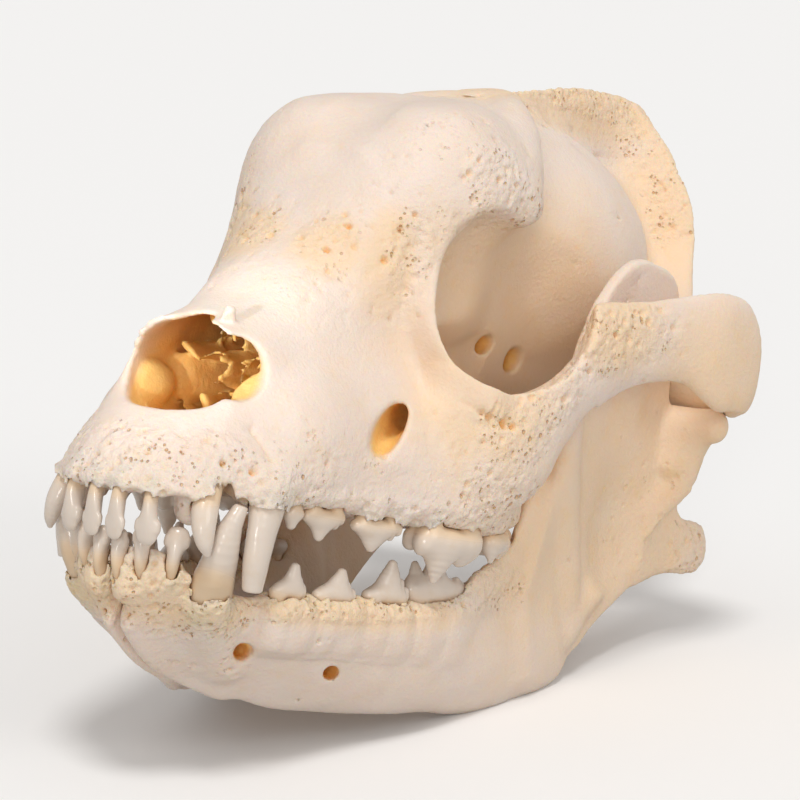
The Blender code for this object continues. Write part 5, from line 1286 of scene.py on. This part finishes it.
def floor_material(colour):
    """Pale floor, which throws less light back up than its own brightness would."""
    tree, shader = start_material("studio floor", {"Roughness": 0.8})
    seen = tree.nodes.new("ShaderNodeLightPath").outputs["Is Camera Ray"]
    dim = tuple(part * FLOOR_DIM for part in colour[:3]) + (1.0,)
    feed(tree, mixed(tree, seen, dim, tuple(colour)), shader["Base Color"])


def length(default, name, description):
    """Property for a length in metres."""
    return FloatProperty(name=name, description=description, default=default, min=0.0, unit="LENGTH")


def count(default, least, name, description):
    """Property for a number of things."""
    return IntProperty(name=name, description=description, default=default, min=least)


def colour(default, name, description):
    """Property for a colour."""
    return FloatVectorProperty(name=name, description=description, default=default + (1.0,), size=4,
                               min=0.0, max=1.0, subtype="COLOR")


class SkullSizes(bpy.types.PropertyGroup):
    """Steps, clearance and fineness of the skull's pieces"""
    bone_step: length(0.00068, "Bone step", "Grid step of the bones' surface")
    tooth_step: length(0.00036, "Tooth step", "Grid step of the teeth's surface")
    socket_gap: length(0.0003, "Socket gap", "Clearance between a tooth and its socket")
    cranium_faces: count(196000, 1000, "Cranium faces", "Triangles kept on the cranium")
    jaw_faces: count(90000, 1000, "Jaw faces", "Triangles kept on each jaw half")
    cranium_pits: count(2600, 10, "Cranium pits", "Small pits in the rough places of the cranium")
    jaw_pits: count(1000, 10, "Jaw pits", "Small pits in the rough places of each jaw half")


class SkullColours(bpy.types.PropertyGroup):
    """Colours of the bones, the teeth and the floor"""
    bone: colour((0.83, 0.69, 0.59), "Bone", "Clean bone")
    pale_bone: colour((0.88, 0.76, 0.68), "Pale bone", "Palest clouds on the bone")
    # Yellow for fat stain and also painted shade in recesses and shaded places of the bone; on the teeth it
    # stains the neck
    stain_and_shade_yellow: colour((0.86, 0.62, 0.38), "Yellow bone", "Bone stained by fat and painted shade")
    # Painted shade inside the small pores
    pore: colour((0.70, 0.38, 0.14), "Pore", "Inside of small pores")
    # Bright orange painted into hollows as a glow of light shining through thin bone
    hollow: colour((0.98, 0.60, 0.20), "Hollow", "Inside of the nose and of the small holes")
    enamel: colour((0.74, 0.64, 0.55), "Enamel", "Crowns of the teeth")
    root: colour((0.72, 0.54, 0.36), "Root", "Roots and necks of the teeth")
    floor: colour((0.95, 0.95, 0.95), "Floor", "Floor that the skull lies on")


BODY_STEP = 1.6  # how much coarser the uncut cranium is, which is only measured
SOCKET_EDGE = 0.2  # rounding of a socket's rim


def field_step(metres):
    """Grid step in millimetres."""
    return metres * 1000 * 1.0


def cut_sockets(field, teeth, jaw, sizes):
    """Cuts the sockets of one jaw's teeth, each a little wider than its tooth."""
    for name, tooth in teeth.items():
        if name.startswith(jaw):
            field.cut(tooth.grown(sizes.socket_gap * 1000), SOCKET_EDGE)


class SKULL_OT_materials(bpy.types.Operator):
    """Materials of bone and teeth"""
    bl_idname = "skull.materials"
    bl_label = "Make materials"

    def execute(self, context):
        colours = context.scene.skull_colours
        grain = grain_group()
        bone_material(colours, pore_group(), grain)
        tooth_material(colours, grain)
        return {"FINISHED"}


class SKULL_OT_cranium(bpy.types.Operator):
    """Cranium with the upper jaw, cheek arches and braincase"""
    bl_idname = "skull.cranium"
    bl_label = "Make cranium"

    def execute(self, context):
        sizes = context.scene.skull_sizes
        teeth = left_teeth()
        step = field_step(sizes.bone_step)
        body = cranium_body(step * BODY_STEP)
        field = cranium_field(step, teeth)
        cut_sockets(field, teeth, "upper", sizes)
        field.cut(jaw_head().grown(JAW_GAP), 0.5)
        add_rolled_bones(field)
        field = both_sides(field)
        add_left_details(field)
        bone_piece("cranium_bone", field, body, sizes.cranium_faces, sizes.cranium_pits, "cranium")
        return {"FINISHED"}


class SKULL_OT_jaw(bpy.types.Operator):
    """Two halves of the lower jaw"""
    bl_idname = "skull.jaw"
    bl_label = "Make lower jaw"

    def execute(self, context):
        sizes = context.scene.skull_sizes
        teeth = left_teeth()
        body = jaw_body(field_step(sizes.bone_step), teeth)
        field = drilled(copy_of(body))
        cut_sockets(field, teeth, "lower", sizes)
        left = bone_piece("jaw_half_left", field, body, sizes.jaw_faces, sizes.jaw_pits, "mandible_left")
        mesh = left.data.copy()
        mesh.name = "jaw_half_right"
        mesh.transform(Matrix.Scale(-1, 4, (1, 0, 0)))
        mesh.flip_normals()
        stand_for(in_scene("jaw_half_right", mesh), "mandible_right")
        return {"FINISHED"}


class SKULL_OT_teeth(bpy.types.Operator):
    """Forty teeth, twenty on each side"""
    bl_idname = "skull.teeth"
    bl_label = "Make teeth"

    def execute(self, context):
        step = field_step(context.scene.skull_sizes.tooth_step)
        for name, tooth in left_teeth().items():
            for right in (False, True):
                tooth_piece(name, tooth, step, right)
        return {"FINISHED"}


FLOOR_REACH = 6.0  # metres from the middle of the floor to its edges
WORLD_COLOUR, WORLD_STRENGTH = (1.0, 0.99, 0.98, 1), 0.52
# Even, soft lights: where each comes from, its strength, its width in degrees and its colour.
SUNS = {"key": ((0.22, -0.4, 0.95), 1.22, 14.0, (1.0, 0.985, 0.965)),
        "side": ((0.95, -0.12, 0.5), 0.45, 30.0, (1.0, 0.98, 0.95)),
        "front": ((0.4, -0.9, 0.2), 0.6, 12.0, (1.0, 0.98, 0.95))}
SPOT_AT, SPOT_AIM = (0.02, -0.88, 0.2), (0.001, -0.08, 0.104)  # narrow light into the nose
SPOT_POWER, SPOT_ANGLE = 50.0, 2.3  # in watts and degrees
SPOT_BLEND, SPOT_RADIUS = 0.8, 0.02  # softness of its edge, and its radius in metres
SENSOR, LENS = 36.0, 135.0  # width of the camera's sensor and focal length of its lens, in millimetres


def facing(way):
    """Turn of a light that shines from a direction."""
    return Vector(way).to_track_quat("Z", "Y").to_euler()


class SKULL_OT_studio(bpy.types.Operator):
    """Floor, lights and the camera of the photograph"""
    bl_idname = "skull.studio"
    bl_label = "Make studio"

    def execute(self, context):
        scene = context.scene
        corners = np.array([(-1, -1, 0), (1, -1, 0), (1, 1, 0), (-1, 1, 0)]) * FLOOR_REACH
        floor = in_scene("floor", mesh_of("floor", corners, np.array([(0, 1, 2, 3)])))
        floor_material(scene.skull_colours.floor)
        floor.data.materials.append(bpy.data.materials["studio floor"])
        scene.world = bpy.data.worlds.new("studio")
        scene.world.use_nodes = True
        background = scene.world.node_tree.nodes["Background"].inputs
        background["Color"].default_value = WORLD_COLOUR
        background["Strength"].default_value = WORLD_STRENGTH
        scene.view_settings.view_transform = "Standard"
        for name, (way, strength, width, tint) in SUNS.items():
            lamp = bpy.data.lights.new(name, "SUN")
            lamp.energy, lamp.angle, lamp.color = strength, math.radians(width), tint
            in_scene(name, lamp).rotation_euler = facing(way)
        lamp = bpy.data.lights.new("nose spot", "SPOT")
        lamp.energy, lamp.spot_size = SPOT_POWER, math.radians(SPOT_ANGLE)
        lamp.spot_blend, lamp.shadow_soft_size = SPOT_BLEND, SPOT_RADIUS
        spot = in_scene("nose spot", lamp)
        spot.location = SPOT_AT
        spot.rotation_euler = facing(Vector(SPOT_AT) - Vector(SPOT_AIM))
        camera = bpy.data.cameras.new("photo camera")
        camera.sensor_width, camera.lens = SENSOR, LENS
        camera.clip_start, camera.clip_end = 0.05, 50.0
        place = Matrix.Identity(4)
        for column, axis in enumerate(tipped(CAMERA_AXES)):
            place.col[column][:3] = axis
        place.col[3][:3] = (tipped(CAMERA_AT[None])[0] - REST_SHIFT) / 1000
        scene.camera = in_scene("photo camera", camera)
        scene.camera.matrix_world = place
        return {"FINISHED"}


class SKULL_PT_panel(bpy.types.Panel):
    """Sizes, colours and steps of the skull"""
    bl_label = "Skull"
    bl_idname = "SKULL_PT_panel"
    bl_space_type = "VIEW_3D"
    bl_region_type = "UI"
    bl_category = "Skull"

    def draw(self, context):
        for group in (context.scene.skull_sizes, context.scene.skull_colours):
            for word in group.__annotations__:
                self.layout.prop(group, word)
        for operator in OPERATORS:
            self.layout.operator(operator.bl_idname)


OPERATORS = (SKULL_OT_materials, SKULL_OT_cranium, SKULL_OT_jaw, SKULL_OT_teeth, SKULL_OT_studio)
CLASSES = (SkullSizes, SkullColours) + OPERATORS + (SKULL_PT_panel,)


def register():
    for item in CLASSES:
        bpy.utils.register_class(item)
    bpy.types.Scene.skull_sizes = PointerProperty(type=SkullSizes)
    bpy.types.Scene.skull_colours = PointerProperty(type=SkullColours)


def unregister():
    del bpy.types.Scene.skull_colours
    del bpy.types.Scene.skull_sizes
    for item in reversed(CLASSES):
        bpy.utils.unregister_class(item)


def main():
    register()
    bpy.ops.skull.materials()
    bpy.ops.skull.cranium()
    bpy.ops.skull.jaw()
    bpy.ops.skull.teeth()
    bpy.ops.skull.studio()


if __name__ == "__main__":
    main()
